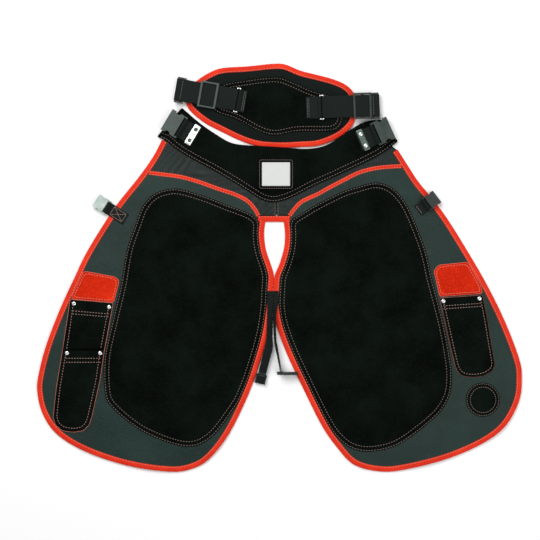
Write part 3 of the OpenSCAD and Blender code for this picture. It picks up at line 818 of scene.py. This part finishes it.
# How far each leg's tape moves inwards where the two legs touch
SHIFT = {"left": 0.8 * MM, "right": -0.8 * MM}
for side in SIDES:
    panels, suedes, bindings = (
        (f"{side}_hip_{part}", f"{side}_leg_{part}") for part in ("panel", "suede", "binding")
    )
    ring = resample(joined(*panels), CUT_STEP, True)
    panel = layer(f"{side}_leather", ring, PANEL_LOW, PANEL_TOP, CHARCOAL, dense=FOLD_Y)
    riding(panel, None, "charcoal_leather", *panels)
    laid(panel, ring)

    ring = resample(joined(*suedes), CUT_STEP, True)
    patch = layer(
        f"{side}_thigh_patch", ring, PANEL_TOP, SUEDE_TOP, BLACK, step=6 * MM, edge=0.45 * MM,
        top=knee_crease if side == "left" else rubbed, insets=SEWN_INSETS, dense=FOLD_Y,
    )
    riding(patch, None, "black_suede", *suedes)
    laid(patch, ring, rests_on=[panel])
    rows = [stitch_row(offset(ring, d, True), SUEDE_TOP + 0.05 * MM, True) for d in SEWN_ROWS]
    patch_rows = sewn(f"{side}_patch_stitching", None, "black_suede", rows, DIM_THREAD)

    edge = resample(leg_edge(side), 3 * MM)
    touch = smooth_step((edge[:, 1] + 95 * MM) / (30 * MM))
    touch *= smooth_step((12 * MM - edge[:, 1]) / (25 * MM))
    edge[:, 0] += SHIFT[side] * touch * (np.abs(edge[:, 0]) < 40 * MM)
    section = tape_profile(EDGE_U, EDGE_TOP, PANEL_LOW, PANEL_TOP)
    binding = make(f"{side}_edge_tape", raised(sweep(edge, section)), RED)
    riding(binding, None, "red_binding", *bindings)
    rows = [stitch_row(offset(edge, EDGE_U - 2 * MM), EDGE_TOP + 0.1 * MM)]
    binding_rows = sewn(f"{side}_edge_stitching", None, "red_binding", rows, RED_THREAD)
    for piece in (panel, patch, patch_rows, binding, binding_rows):
        bend_with_leg(piece)


# ---------------------------------------------------------------- yoke, seams and waistband


def yoke_folds(x, y):
    """Soft creases that fan across the yoke under the waistband."""
    along = 0.88 * x - 0.47 * np.sign(x) * y
    across = 0.47 * np.abs(x) + 0.88 * y
    folds = np.sin(210 * along + 24 * np.sin(31 * across)) * np.sin(95 * across + 0.7)
    return 0.7 * MM * folds


for side in SIDES:
    ring = outline(f"{side}_yoke")
    yoke = layer(
        f"{side}_yoke_leather", ring, PANEL_LOW, PANEL_TOP - 0.3 * MM, YOKE, step=4 * MM,
        top=yoke_folds,
    )
    riding(yoke, "hips", "charcoal_leather", f"{side}_yoke")
    laid(yoke, ring)

PIPE_W, PIPE_STEPS = 8 * MM, 120
arch = [(math.sin(a) * PIPE_W / 2, math.cos(a) * MM) for a in np.linspace(-1.45, 1.45, 7)]
profile = [(u, PANEL_TOP - 0.1 * MM + h) for u, h in [(-PIPE_W / 2, 0), *arch, (PIPE_W / 2, 0)]]
for ring in level_rings("yoke_piping"):
    side = "left" if ring[:, 0].mean() < 0 else "right"
    one, other = sorted(sides_of(ring), key=length)[-2:]
    seam = sum(resample(s, length(s) / PIPE_STEPS) for s in (one, other[::-1])) / 2
    piping = make(f"{side}_seam_piping", sweep(seam, profile), RED)
    riding(piping, "hips", "red_binding", "yoke_piping")
    rows = [
        stitch_row(offset(seam, s * (PIPE_W / 2 - 1.2 * MM)), PANEL_TOP + 0.75 * MM) for s in (-1, 1)
    ]
    sewn(f"{side}_seam_stitching", "hips", "red_binding", rows, RED_THREAD)

# The tape across the crotch, folded over the yoke's lower edge
low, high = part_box("crotch_binding")
lap = 4.6 * MM
line = resample(np.array([[low.x, low.y - lap], [high.x, low.y - lap]]), 3 * MM)
wide = high.y - low.y + lap
section = tape_profile(wide, EDGE_TOP + 0.5 * MM, PANEL_LOW, PANEL_TOP)
riding(make("crotch_tape", sweep(line, section), RED), "hips", "red_binding", "crotch_binding")
sewn("crotch_stitching", "hips", "red_binding",
     [stitch_row(line + [0, wide - 1.6 * MM], EDGE_TOP + 0.6 * MM)], RED_THREAD)

BAND_LOW, BAND_TOP = bottom_of("waistband"), top_of("waistband")
band_ring = outline("waistband")
band_left, band_right = band_ring[:, 0].argmin(), band_ring[:, 0].argmax()
lower_edge = np.roll(band_ring, -band_left, 0)[: (band_right - band_left) % len(band_ring) + 1]
BAND_ROWS = (3.2 * MM, 11 * MM)
label_mid = sum(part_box("label"), Vector()) / 2


def band_sag(x, y):
    """The band's lower edge is sewn down to the yoke."""
    d = distance(np.column_stack([x, y]), lower_edge)
    return -(BAND_LOW - PANEL_TOP - 0.1 * MM) * (1 - smooth_step(d / (26 * MM)))


def band_top(x, y):
    """The band is quilted: full in the middle, pulled down along its stitching."""
    points = np.column_stack([x, y])
    d = distance(points, lower_edge)
    rim = distance(points, band_ring, True)
    full = 1.2 * MM * smooth_step(rim / (30 * MM)) - 0.9 * MM * (1 - smooth_step(rim / (9 * MM)))
    row = -0.7 * MM * sum(np.exp(-(((d - k) / (1.8 * MM)) ** 2)) for k in BAND_ROWS)
    calm = smooth_step((np.hypot(x - label_mid[0], y - label_mid[1]) - 45 * MM) / (40 * MM))
    ends = smooth_step((0.15 - np.abs(x)) / 0.05)
    waves = 0.7 * MM * np.sin(38 * x + 1) * np.sin(55 * y + 90 * np.abs(x)) * calm * ends
    return band_sag(x, y) + (full * ends + row + waves * smooth_step(rim / (20 * MM)))


band = layer(
    "waistband_suede", band_ring, BAND_LOW, BAND_TOP - 0.3 * MM, BLACK, step=4 * MM, edge=1.0 * MM,
    top=band_top, low=band_sag, insets=((2 * MM, 0), (3.2 * MM, 0), (4.6 * MM, 0)),
)
riding(band, "hips", "black_suede", "waistband", "waistband_lining")
rows = [
    stitch_row(offset(lower_edge, d)[2:-2], lambda x, y: BAND_TOP - 0.1 * MM + band_top(x, y))
    for d in BAND_ROWS
]
SEAM_X, SEAM_TOP = (-8 * MM, -2 * MM), 134 * MM
for x in SEAM_X:
    rows.append(stitch_row(np.array([[x, SEAM_TOP], [x, high.y + 1 * MM]]), PANEL_TOP + 0.2 * MM))
sewn("waistband_stitching", "hips", "black_suede", rows, DIM_THREAD)

low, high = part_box("label_patch")
ring = rounded(box_ring("label_patch"), 3 * MM)
patch = layer("label_patch_suede", ring, low.z, high.z + 0.6 * MM, BLACK, step=4 * MM, edge=0.4 * MM)
riding(patch, "hips", "black_suede", "label_patch")
sewn("label_patch_stitching", "hips", "black_suede",
     [stitch_row(offset(ring, 3.2 * MM, True), high.z + 0.65 * MM, True, 3.6 * MM)], DIM_THREAD)

low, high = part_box("label")
ring = rounded(box_ring("label"), 1.2 * MM, 0.8 * MM)
label = layer(
    "plain_label", ring, low.z + 0.6 * MM, high.z + 0.7 * MM, LABEL, step=3 * MM,
    edge=0.2 * MM, top=lambda x, y: 0.25 * MM * np.sin(160 * x) * np.sin(150 * y),
)
riding(label, "hips", "label", "label")
rows = [stitch_row(offset(ring, 1.6 * MM, True), high.z + 0.85 * MM, True, 2.6 * MM, 0.25 * MM)]
sewn("label_stitching", "hips", "label", rows, LABEL)


# ---------------------------------------------------------------- pockets and magnet patch

POCKET_LOW, WALL, POCKET_STEP = top_of("left_pocket_backing"), 1.4 * MM, 2.6 * MM
POCKET_DEEP = top_of("right_pocket") - POCKET_LOW - WALL


def rivet_centres(node):
    """The middles of a node's round upper faces."""
    return np.array([r.mean(0) for r in level_rings(node)])


def flat_patch(name, body, slot_name, node_name, ring, z1, material, edge=0.4 * MM):
    """A piece of leather sewn flat on a leg, up to height z1."""
    piece = layer(name, ring, PANEL_TOP, z1, material, step=5 * MM, edge=edge)
    laid(riding(piece, body, slot_name, node_name), ring)


def cut_edge(name, body, slot_name, ring, top):
    """The pale bead of a cut edge round an outline."""
    r, n = 0.4 * MM, 8
    turns = np.arange(n) * 2 * math.pi / n
    bead = np.column_stack([r * np.cos(turns), top - r + r * np.sin(turns)])
    riding(make(name, raised(sweep(ring, bead, True)), RED_EDGE), body, slot_name)


class Pocket:
    """A pocket front: sewn down along its sides, standing open at its mouth."""

    def __init__(self, node, rivets, sleeve=False):
        sides = sides_of(level_rings(node)[0], 1 * MM)
        by_height = sorted(sides, key=lambda s: s[:, 1].mean())
        self.mouth = by_height[-1]
        open_ends = [self.mouth] + ([by_height[0]] if sleeve else [])
        self.sewn = [s for s in sides if not any(s is e for e in open_ends)]
        self.ring = outline(node, POCKET_STEP)
        self.rivets = rivets

    def stand(self, x, y):
        """How far the front stands off its backing."""
        points = np.column_stack([x, y])
        d = np.min([distance(points, s) for s in self.sewn], 0)
        out = smooth_step(d / (16 * MM))
        for r in self.rivets:
            out = out * (0.25 + 0.75 * smooth_step(np.hypot(*(points - r).T) / (13 * MM)))
        ripple = 0.12 * np.sin(95 * x + 40 * y)
        return 0.85 * POCKET_DEEP * out * (1 + ripple)

    def over(self, x, y):
        return POCKET_LOW + WALL + 0.05 * MM + self.stand(x, y)

    def rows(self, inset, mouth_rows):
        rows = []
        for side in self.sewn:
            if length(side) > 12 * MM:
                rows.append(stitch_row(offset(resample(side, 2 * MM), inset), self.over))
        for d in mouth_rows:
            across = offset(resample(self.mouth, 2 * MM), d)[2:-2]
            rows.append(stitch_row(across[inside(across, self.ring)], self.over))
        return rows


POCKETS = {
    "left_upper_pocket": ("left", True, (20 * MM, 26 * MM)),
    "left_lower_pocket": ("left", False, (16 * MM, 24 * MM)),
    "right_pocket": ("right", False, (16 * MM, 22 * MM)),
}
fronts = {}
for name, (side, sleeve, mouth_rows) in POCKETS.items():
    body = f"{side}_leg"
    pocket = Pocket(name, rivet_centres(f"{side}_pocket_rivets"), sleeve)
    fronts[name] = pocket
    front = layer(f"{name}_front", pocket.ring, POCKET_LOW, POCKET_LOW + WALL, BLACK, step=3.5 * MM,
                  edge=0.4 * MM, top=pocket.stand, low=pocket.stand)
    riding(front, body, "black_suede", name)
    laid(front, pocket.ring)
    sewn(f"{name}_stitching", body, "black_suede", pocket.rows(5.6 * MM, mouth_rows), THREAD)

for side in SIDES:
    body, name = f"{side}_leg", f"{side}_red_patch"
    ring = rounded(level_rings(name)[0], 4 * MM)
    flat_patch(f"{name}_suede", body, "red_suede", name, ring, SUEDE_TOP, RED_SUEDE)
    cut_edge(f"{name}_edge", body, "red_suede", ring, SUEDE_TOP)
    sewn(f"{name}_stitching", body, "red_suede",
         [stitch_row(offset(ring, 4 * MM, True), SUEDE_TOP + 0.05 * MM, True)], RED_THREAD)

left_ring = outline("left_pocket_backing", POCKET_STEP)
right_ring = fronts["right_pocket"].ring
flat_patch("left_pocket_backing_suede", "left_leg", "black_suede", "left_pocket_backing",
           left_ring, POCKET_LOW, BLACK)
flat_patch("right_pocket_backing", "right_leg", "black_suede", "right_pocket", right_ring,
           POCKET_LOW, BLACK, 0.6 * MM)
for side, ring in (("left", left_ring), ("right", right_ring)):
    cut_edge(f"{side}_pocket_edge", f"{side}_leg", "black_suede", ring, POCKET_LOW)

RIVET = MM * np.array([(1.8, -2.0), (1.8, -0.2), (3.9, -0.2), (4.2, 0.1), (3.9, 0.7), (3.1, 1.15),
                       (2.0, 1.3), (1.5, 1.2), (1.2, 0.6), (0.2, 0.5)])
# The profile below is a dark disc set in each pocket rivet's dimple: painted shade in the rivet's
# hollow centre
HOLLOW_SHADE = MM * np.array([(0.2, -0.3), (1.2, -0.3), (1.1, 0.15), (0.1, 0.2)])


def rivet(centre, z):
    return turned(RIVET, (*centre, z), 24)


for side in SIDES:
    parts = []
    for centre in rivet_centres(f"{side}_pocket_rivets"):
        pocket = next(p for p in fronts.values() if inside(centre[None], p.ring)[0])
        x, y = centre[:1], centre[1:]
        parts.append(rivet(centre, float((pocket.over(x, y) + lift(x, y))[0])))
    rivets = make(f"{side}_pocket_rivet_heads", joined_mesh(parts), STEEL)
    riding(rivets, f"{side}_leg", "steel", f"{side}_pocket_rivets")
    # A dark nylon disc in each rivet's dimple, as painted shade in its hollow centre
    parts = [turned(HOLLOW_SHADE, v.mean(0) + [0, 0, 0.1 * MM], 12) for v, _, _ in parts]
    hollow_shades = make(f"{side}_pocket_rivet_hollow_shades", joined_mesh(parts), DARK_NYLON)
    riding(hollow_shades, f"{side}_leg", "steel")

low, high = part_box("magnet_cover")
middle, disc_r = (low + high) / 2, (high.x - low.x) / 2
dome_h = high.z - low.z
disc = [
    (disc_r - 0.6 * MM, 0), (disc_r, 0.5 * MM), (disc_r - 0.3 * MM, 1.2 * MM),
    (disc_r - 2 * MM, 1.05 * MM), (disc_r - 4 * MM, 1.6 * MM), (disc_r - 6.5 * MM, 2.1 * MM),
    (disc_r - 8.5 * MM, dome_h - 1.3 * MM), (disc_r - 11 * MM, dome_h - 0.3 * MM),
    (disc_r - 18 * MM, dome_h), (0.3 * MM, dome_h + 0.1 * MM),
]
cover = make("magnet_patch", raised(turned(disc, (middle.x, middle.y, PANEL_TOP), 72)), BLACK)
riding(cover, "right_leg", "black_suede", "magnet_cover", "magnet")
sewn(
    "magnet_patch_stitching", "right_leg", "black_suede",
    [
        stitch_row(arc((middle.x, middle.y), r, 0, 360, 73)[:-1], PANEL_TOP + h, True, 4.6 * MM)
        for r, h in ((disc_r - 2 * MM, 1.1 * MM), (disc_r - 8.2 * MM, dome_h - 1.0 * MM))
    ], DIM_THREAD,
)


# ---------------------------------------------------------------- webbing


class Place:
    """A buckle's bar: its middle, the way it heads and the way its bar runs."""

    def __init__(self, joint):
        axis = JOINTS[joint]["axis"]
        self.at = np.array(JOINTS[joint]["pos_m"])
        self.ahead = np.array([-axis[1], axis[0], 0.0])
        self.across = np.array([-self.ahead[1], self.ahead[0], 0.0])

    def point(self, a, b):
        """The plan position a ahead of the bar and b across."""
        return (self.at + a * self.ahead + b * self.across)[:2]

    def band(self, side_view, width, thickness, closed=False):
        """Webbing that follows a path seen from its edge: how far ahead, and how high."""
        path = resample(side_view, 1.2 * MM, closed)
        points = self.at + path[:, :1] * self.ahead + path[:, 1:] * [0, 0, 1.0]
        t = tangents(path, closed)
        up = -t[:, 1:] * self.ahead + t[:, :1] * [0, 0, 1.0]
        side = np.broadcast_to(self.across, points.shape)
        return sweep(points, slab_profile(width, thickness), closed, side, up)

    def stitches(self, corners, h):
        """A row of stitches through (ahead, across) corners at height h over the bar."""
        path = np.array([self.point(a, b) for a, b in corners])
        return stitch_row(resample(path, 1.0 * MM), self.at[2] + h, pitch=3.2 * MM)


WEB_T = 1.2 * MM
BELT_WEB, THIGH_WEB, BACK_WEB, LEG_WEB = 40 * MM, 24 * MM, 44 * MM, 16 * MM


def folded_end(reach, low, r):
    """Side view of webbing sewn flat to height low, taken round a bar and back on top."""
    return np.vstack([
        [(-reach, low + WEB_T / 2), (-0.5 * reach, low + WEB_T / 2), (-2.6 * r, low + WEB_T / 2)],
        arc((0, 0), r, -100, 112, 18),
        [(-3.2 * r, low + 1.6 * WEB_T), (-0.5 * reach, low + 1.5 * WEB_T), (-reach, low + 1.5 * WEB_T)],
    ])


def box_x(place, near, far, half, h):
    """Stitching in a box with a cross in it."""
    corners = [(-near, -half), (-near, half), (-far, half), (-far, -half), (-near, -half)]
    return [
        place.stitches(corners, h), place.stitches([corners[0], corners[2]], h),
        place.stitches([corners[1], corners[3]], h),
    ]


BAR_R = 2.1 * MM + WEB_T / 2
belts = [Place(f"{side}_belt_socket_lift") for side in SIDES]
parts = [p.band(folded_end(36 * MM, BAND_TOP - p.at[2], BAR_R), BELT_WEB, WEB_T) for p in belts]
riding(make("waist_webbing", joined_mesh(parts), WEB), "hips", "webbing", "belt_webs")

parts, rows = [], []
for side, reach in (("left", 43 * MM), ("right", 21 * MM)):
    p = Place(f"{side}_thigh_socket_lift")
    low = EDGE_TOP + 0.1 * MM - p.at[2]
    parts.append(p.band(folded_end(reach, low, BAR_R), THIGH_WEB, WEB_T))
    top, far, half = low + 2 * WEB_T + 0.1 * MM, reach - 3 * MM, 9 * MM
    if side == "left":
        rows += box_x(p, 12 * MM, far, half, top)
    else:
        rows.append(p.stitches([(-far, -half), (-far, half)], top))
riding(make("thigh_webbing", joined_mesh(parts), WEB), "hips", "webbing", "thigh_tabs")
sewn("thigh_webbing_stitching", "hips", "webbing", rows, THREAD)

PLATE_LOW, PLATE_TOP = bottom_of("rivet_plates"), top_of("rivet_plates")
for ring in level_rings("rivet_plates"):
    if area(ring) < 0:
        continue
    side = "left" if ring[:, 0].mean() < 0 else "right"
    finish = STEEL if side == "left" else DULL_STEEL
    plate = layer(f"{side}_rivet_plate", rounded(ring, 1.2 * MM, 0.8 * MM), PLATE_LOW, PLATE_TOP,
                  finish, step=3 * MM, edge=0.25 * MM)
    riding(plate, "hips", "steel", "rivet_plates")
for side, finish in (("left", DULL_STEEL), ("right", STEEL)):
    parts = [rivet(c, PLATE_TOP + 0.1 * MM) for c in rivet_centres("belt_rivets")
             if (c[0] < 0) == (side == "left")]
    heads = make(f"{side}_belt_rivet_heads", joined_mesh(parts), finish)
    riding(heads, "hips", "steel", "belt_rivets")

# The straps of the back support: each goes round its loop and round its plug's bar
LOOP_BACK, LOOP_R = 6 * MM, 1.5 * MM + WEB_T / 2
parts, rows = [], []
for side, reach in (("left", 20 * MM), ("right", 34 * MM)):
    p = Place(f"{side}_back_strap_lift")
    low = top_of("pad_panel") + 0.1 * MM - p.at[2]
    view = folded_end(reach - LOOP_BACK, low, LOOP_R) - [LOOP_BACK, 0]
    parts.append(p.band(view, BACK_WEB, WEB_T))
    top = low + 2 * WEB_T + 0.1 * MM
    rows += [p.stitches([(d - reach, -19 * MM), (d - reach, 19 * MM)], top)
             for d in (2.5 * MM, 5.5 * MM)]
    plug = Place(f"{side}_belt_plug_swing")
    long = np.dot(plug.at - p.at, p.ahead)
    drop = plug.at[2] - p.at[2]
    half = WEB_T / 2 + 0.02 * MM
    ring = np.vstack([
        arc((0, 0), LOOP_R, 250, 110, 12), [(9 * MM, half), (long * 0.5, half), (long - 6 * MM, half)],
        arc((long, drop), BAR_R + 0.5 * MM, 80, -110, 14),
        [(long - 10 * MM, -half), (long * 0.5, -half), (9 * MM, -half)],
    ])
    strap = make(f"{side}_back_webbing", p.band(ring, BACK_WEB, WEB_T, True), WEB)
    riding(strap, f"{side}_back_strap", "webbing", f"{side}_back_strap")
    hem = p.stitches([(long - 9 * MM, -19 * MM), (long - 9 * MM, 19 * MM)], 1.35 * MM)
    sewn(f"{side}_back_webbing_stitching", f"{side}_back_strap", "webbing", [hem], GREY_THREAD)
riding(make("pad_webbing", joined_mesh(parts), WEB), "back_support", "webbing", "strap_tabs")
sewn("pad_webbing_stitching", "back_support", "webbing", rows, GREY_THREAD)


# ---------------------------------------------------------------- leg straps


def twisted(points, widths, turns):
    """Webbing along 3-D points, each with a width and a turn from flat, in degrees."""
    points = curve(points, 10)
    steps = np.linspace(0, len(widths) - 1, len(points))
    width = np.interp(steps, np.arange(len(widths)), widths)
    turn = np.radians(np.interp(steps, np.arange(len(turns)), turns))[:, None]
    t = tangents(points, False)
    flat = np.column_stack([-t[:, 1], t[:, 0], np.zeros(len(t))])
    flat /= np.linalg.norm(flat, axis=1)[:, None]
    rise = np.cross(t, flat)
    side = np.cos(turn) * flat + np.sin(turn) * rise
    up = np.cross(t, side)
    return sweep(points, slab_profile(1.0, WEB_T), False, side * width[:, None], up)


PLUG_R = 2.4 * MM
plug = Place("left_leg_plug_swing")
sewn_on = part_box("left_leg_strap")[1].y
low = bottom_of("left_leg_strap")
top_z = plug.at[2] + 2.3 * MM
run = [
    (-17.9 * MM, sewn_on, low + WEB_T), (-18 * MM, sewn_on - 50 * MM, low + WEB_T),
    (-19 * MM, sewn_on - 88 * MM, low + 1.6 * WEB_T),
]
run += [(*plug.point(-a, 0), top_z) for a in (72 * MM, 48 * MM, 22 * MM, 2 * MM)]
widths = [11.6 * MM, 12 * MM, 12.5 * MM] + [LEG_WEB] * 4
parts = [twisted(run, widths, [0] * 7)]
eye = np.vstack([
    [(-2 * MM, 2.3 * MM)], arc((0, 0), PLUG_R, 90, -100, 12),
    [(-9 * MM, -0.4 * MM), (-26 * MM, 0.5 * MM), (-62 * MM, 0.6 * MM)],
])
parts.append(plug.band(eye, LEG_WEB, WEB_T))
strap = make("left_leg_webbing", joined_mesh(parts), WEB)
riding(strap, "left_leg_strap", "webbing", "left_leg_strap")
rows = [plug.stitches([(-a, -6 * MM), (-a, 6 * MM)], 3.0 * MM) for a in (14 * MM, 18 * MM)]
sewn("left_leg_webbing_stitching", "left_leg_strap", "webbing", rows, GREY_THREAD)

turn = JOINTS["right_leg_plug_turn"]["pos_m"]
sewn_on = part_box("right_leg_strap")[1].y
down = [
    (-6.4 * MM, sewn_on, low + WEB_T), (-6.4 * MM, sewn_on - 22 * MM, low + WEB_T),
    (-8.6 * MM, sewn_on - 45 * MM, 8.5 * MM), (-8.8 * MM, sewn_on - 72 * MM, 11 * MM),
    (-7 * MM, sewn_on - 104 * MM, turn[2]), (-2 * MM, sewn_on - 132 * MM, turn[2]),
    (turn[0] - 1.8 * MM, turn[1] + 6 * MM, turn[2]), (turn[0] - 2.4 * MM, turn[1], turn[2]),
]
widths = [10.4 * MM, 10.4 * MM, 10 * MM, 13 * MM] + [LEG_WEB] * 4
parts = [twisted(down, widths, [0, 10, 58, 70, 77, 82, 87, 90])]
back = resample(np.vstack([
    arc(turn[:2], PLUG_R, 180, 400, 14),
    [(turn[0] + 0.6 * MM, turn[1] + 6 * MM), (0.2 * MM, sewn_on - 132 * MM),
     (-4.4 * MM, sewn_on - 104 * MM)],
]), 1.2 * MM)
flat = np.column_stack([back, np.full(len(back), turn[2])])
t = tangents(back, False)
parts.append(sweep(
    flat, slab_profile(LEG_WEB, WEB_T), False,
    np.broadcast_to([0, 0, 1.0], flat.shape), np.column_stack([t[:, 1], -t[:, 0], np.zeros(len(t))]),
))
strap = make("right_leg_webbing", joined_mesh(parts), WEB)
riding(strap, "right_leg_strap", "webbing", "right_leg_strap")


# ---------------------------------------------------------------- back support

pad_ring = outline("pad_binding")
PAD_EDGE, PAD_TOP = top_of("pad_binding"), top_of("pad_mesh")
CORE_LOW, CORE_TOP = bottom_of("pad_backing"), PAD_EDGE - bottom_of("pad_backing")
SWELL = PAD_TOP - CORE_TOP - 0.1 * MM
panel_ring = outline("pad_panel")
PANEL_ROWS = (2.6 * MM, 9.6 * MM)
ARM_SPOTS = [
    sum(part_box(f"{side}_plug_arm_{arm}"), Vector()) / 2 for side in SIDES for arm in "ab"
]


def crown(x, y):
    """The cushion swells from its bound edge up to its middle, with dents under the plug arms."""
    points = np.column_stack([x, y])
    rise = smooth_step((distance(points, pad_ring, True) - 7 * MM) / (19 * MM))
    seam = distance(points, panel_ring, True)
    out = np.where(inside(points, panel_ring), 0.0, 1.0)
    channel = 0.8 * MM * np.exp(-((seam - 9 * MM) / (3 * MM)) ** 2) * out
    groove = 0.9 * MM * np.exp(-((seam / (3.5 * MM)) ** 2)) * rise
    dent = 1.5 * MM * np.max(
        [np.exp(-((x - s.x) ** 2 + (y - s.y) ** 2) / (20 * MM) ** 2) for s in ARM_SPOTS], 0
    )
    return (SWELL - dent) * rise - channel * rise - groove * out


def panel_puff(x, y):
    points = np.column_stack([x, y])
    d = distance(points, panel_ring, True)
    row = -0.35 * MM * sum(np.exp(-(((d - k) / (1.5 * MM)) ** 2)) for k in PANEL_ROWS)
    puffs = 0.3 * MM * np.sin(60 * x) * np.sin(70 * y) * smooth_step(d / (20 * MM))
    return SWELL + row + puffs


cushion = layer("pad_cushion", offset(pad_ring, 1.6 * MM, True), CORE_LOW, CORE_TOP, MESH, step=4 * MM,
                edge=0.5 * MM, top=crown, insets=((3.5 * MM, 0), (6.5 * MM, 0)))
points = np.array([v.co[:] for v in cushion.data.vertices])
round_pad = np.arctan2(points[:, 1] - pad_ring[:, 1].mean(), points[:, 0] - pad_ring[:, 0].mean())
woven = np.column_stack([round_pad * 120 * MM, distance(points[:, :2], pad_ring, True), points[:, 2]])
cushion.data.attributes[LIE].data.foreach_set("vector", woven.astype(np.float32).ravel())
riding(cushion, "back_support", "mesh_fabric", "pad_mesh", "pad_foam", "pad_backing")
pad_panel = layer("pad_panel_suede", panel_ring, CORE_TOP, CORE_TOP + 1.4 * MM, BLACK, step=4 * MM,
                  edge=0.4 * MM, top=panel_puff, low=panel_puff)
riding(pad_panel, "back_support", "black_suede", "pad_panel")
laid(pad_panel, panel_ring, rests_on=[cushion])


def panel_over(x, y):
    return CORE_TOP + 1.45 * MM + panel_puff(x, y)


sewn("pad_panel_stitching", "back_support", "black_suede",
     [stitch_row(offset(panel_ring, d, True), panel_over, True) for d in PANEL_ROWS], DIM_THREAD)
section = tape_profile(EDGE_U, PAD_EDGE, CORE_LOW, CORE_TOP)
pad_tape = make("pad_edge_tape", sweep(pad_ring, section, True), RED)
riding(pad_tape, "back_support", "red_binding", "pad_binding")
sewn("pad_tape_stitching", "back_support", "red_binding",
     [stitch_row(offset(pad_ring, EDGE_U - 2 * MM, True), PAD_EDGE + 0.1 * MM, True)], RED_THREAD)


# ---------------------------------------------------------------- the CAD's hard parts

# Each part's material, and the width of its worn edges in millimetres
# The left belt socket and left tri-glide are lighter than their right twins: painted light on the left
# ones, painted shade on the right ones
HARD = {
    "left_belt_socket": (NYLON, 0.7), "right_belt_socket": (MID_NYLON, 0.7),
    "left_thigh_socket": (PALE_NYLON, 0.6), "right_thigh_socket": (DARK_NYLON, 0.6),
    "left_tri_glide": (MID_NYLON, 0.5), "right_tri_glide": (DARK_NYLON, 0.5),
    "strap_loops": (STEEL, 0),
}
for side in SIDES:
    HARD[f"{side}_leg_plug"] = (DARK_NYLON, 0.4)
    for part in ("belt_plug", "plug_arm_a", "plug_arm_b"):
        HARD[f"{side}_{part}"] = (DARK_NYLON, 0.5)
for name, (material, edge) in HARD.items():
    part = NODES[name]
    part.data.materials.clear()
    part.data.materials.append(material)
    if edge:
        bevel = part.modifiers.new("worn_edges", "BEVEL")
        bevel.width, bevel.segments = edge * MM, 2
        bevel.limit_method, bevel.angle_limit = "ANGLE", math.radians(40)


# ---------------------------------------------------------------- the room

material, tree = blank("floor_white", roughness=0.8, specular=0.1)
tree.nodes["Principled BSDF"].inputs["Base Color"].default_value = (0.9, 0.9, 0.9, 1)
floor = linked("floor", bpy.data.meshes.new("floor"))
corners = [(6 * x, 6 * y, -0.5 * MM) for x, y in ((-1, -1), (1, -1), (1, 1), (-1, 1))]
floor.data.from_pydata(corners, [], [(0, 1, 2, 3)])
floor.data.materials.append(material)

world = bpy.data.worlds.new("studio")
world.use_nodes = True
sky = world.node_tree.nodes["Background"].inputs
sky["Color"].default_value = (1, 1, 1, 1)
sky["Strength"].default_value = 0.35
bpy.context.scene.world = world
for name, spot, size, power in (
    ("key", (-0.9, 1.3, 2.2), 1.8, 62.0), ("fill", (1.4, -0.6, 2.0), 2.0, 28.0),
):
    lamp = linked(name, bpy.data.lights.new(name, "AREA"))
    lamp.data.size, lamp.data.energy = size, power
    lamp.location = spot
    lamp.rotation_euler = (-Vector(spot)).to_track_quat("-Z", "Y").to_euler()

camera = linked("camera", bpy.data.cameras.new("camera"))
camera.data.lens = 100
camera.data.sensor_width = 36
camera.location = (-0.018, -0.004, 3.0)
bpy.context.scene.camera = camera
bpy.context.scene.view_settings.view_transform = "Standard"
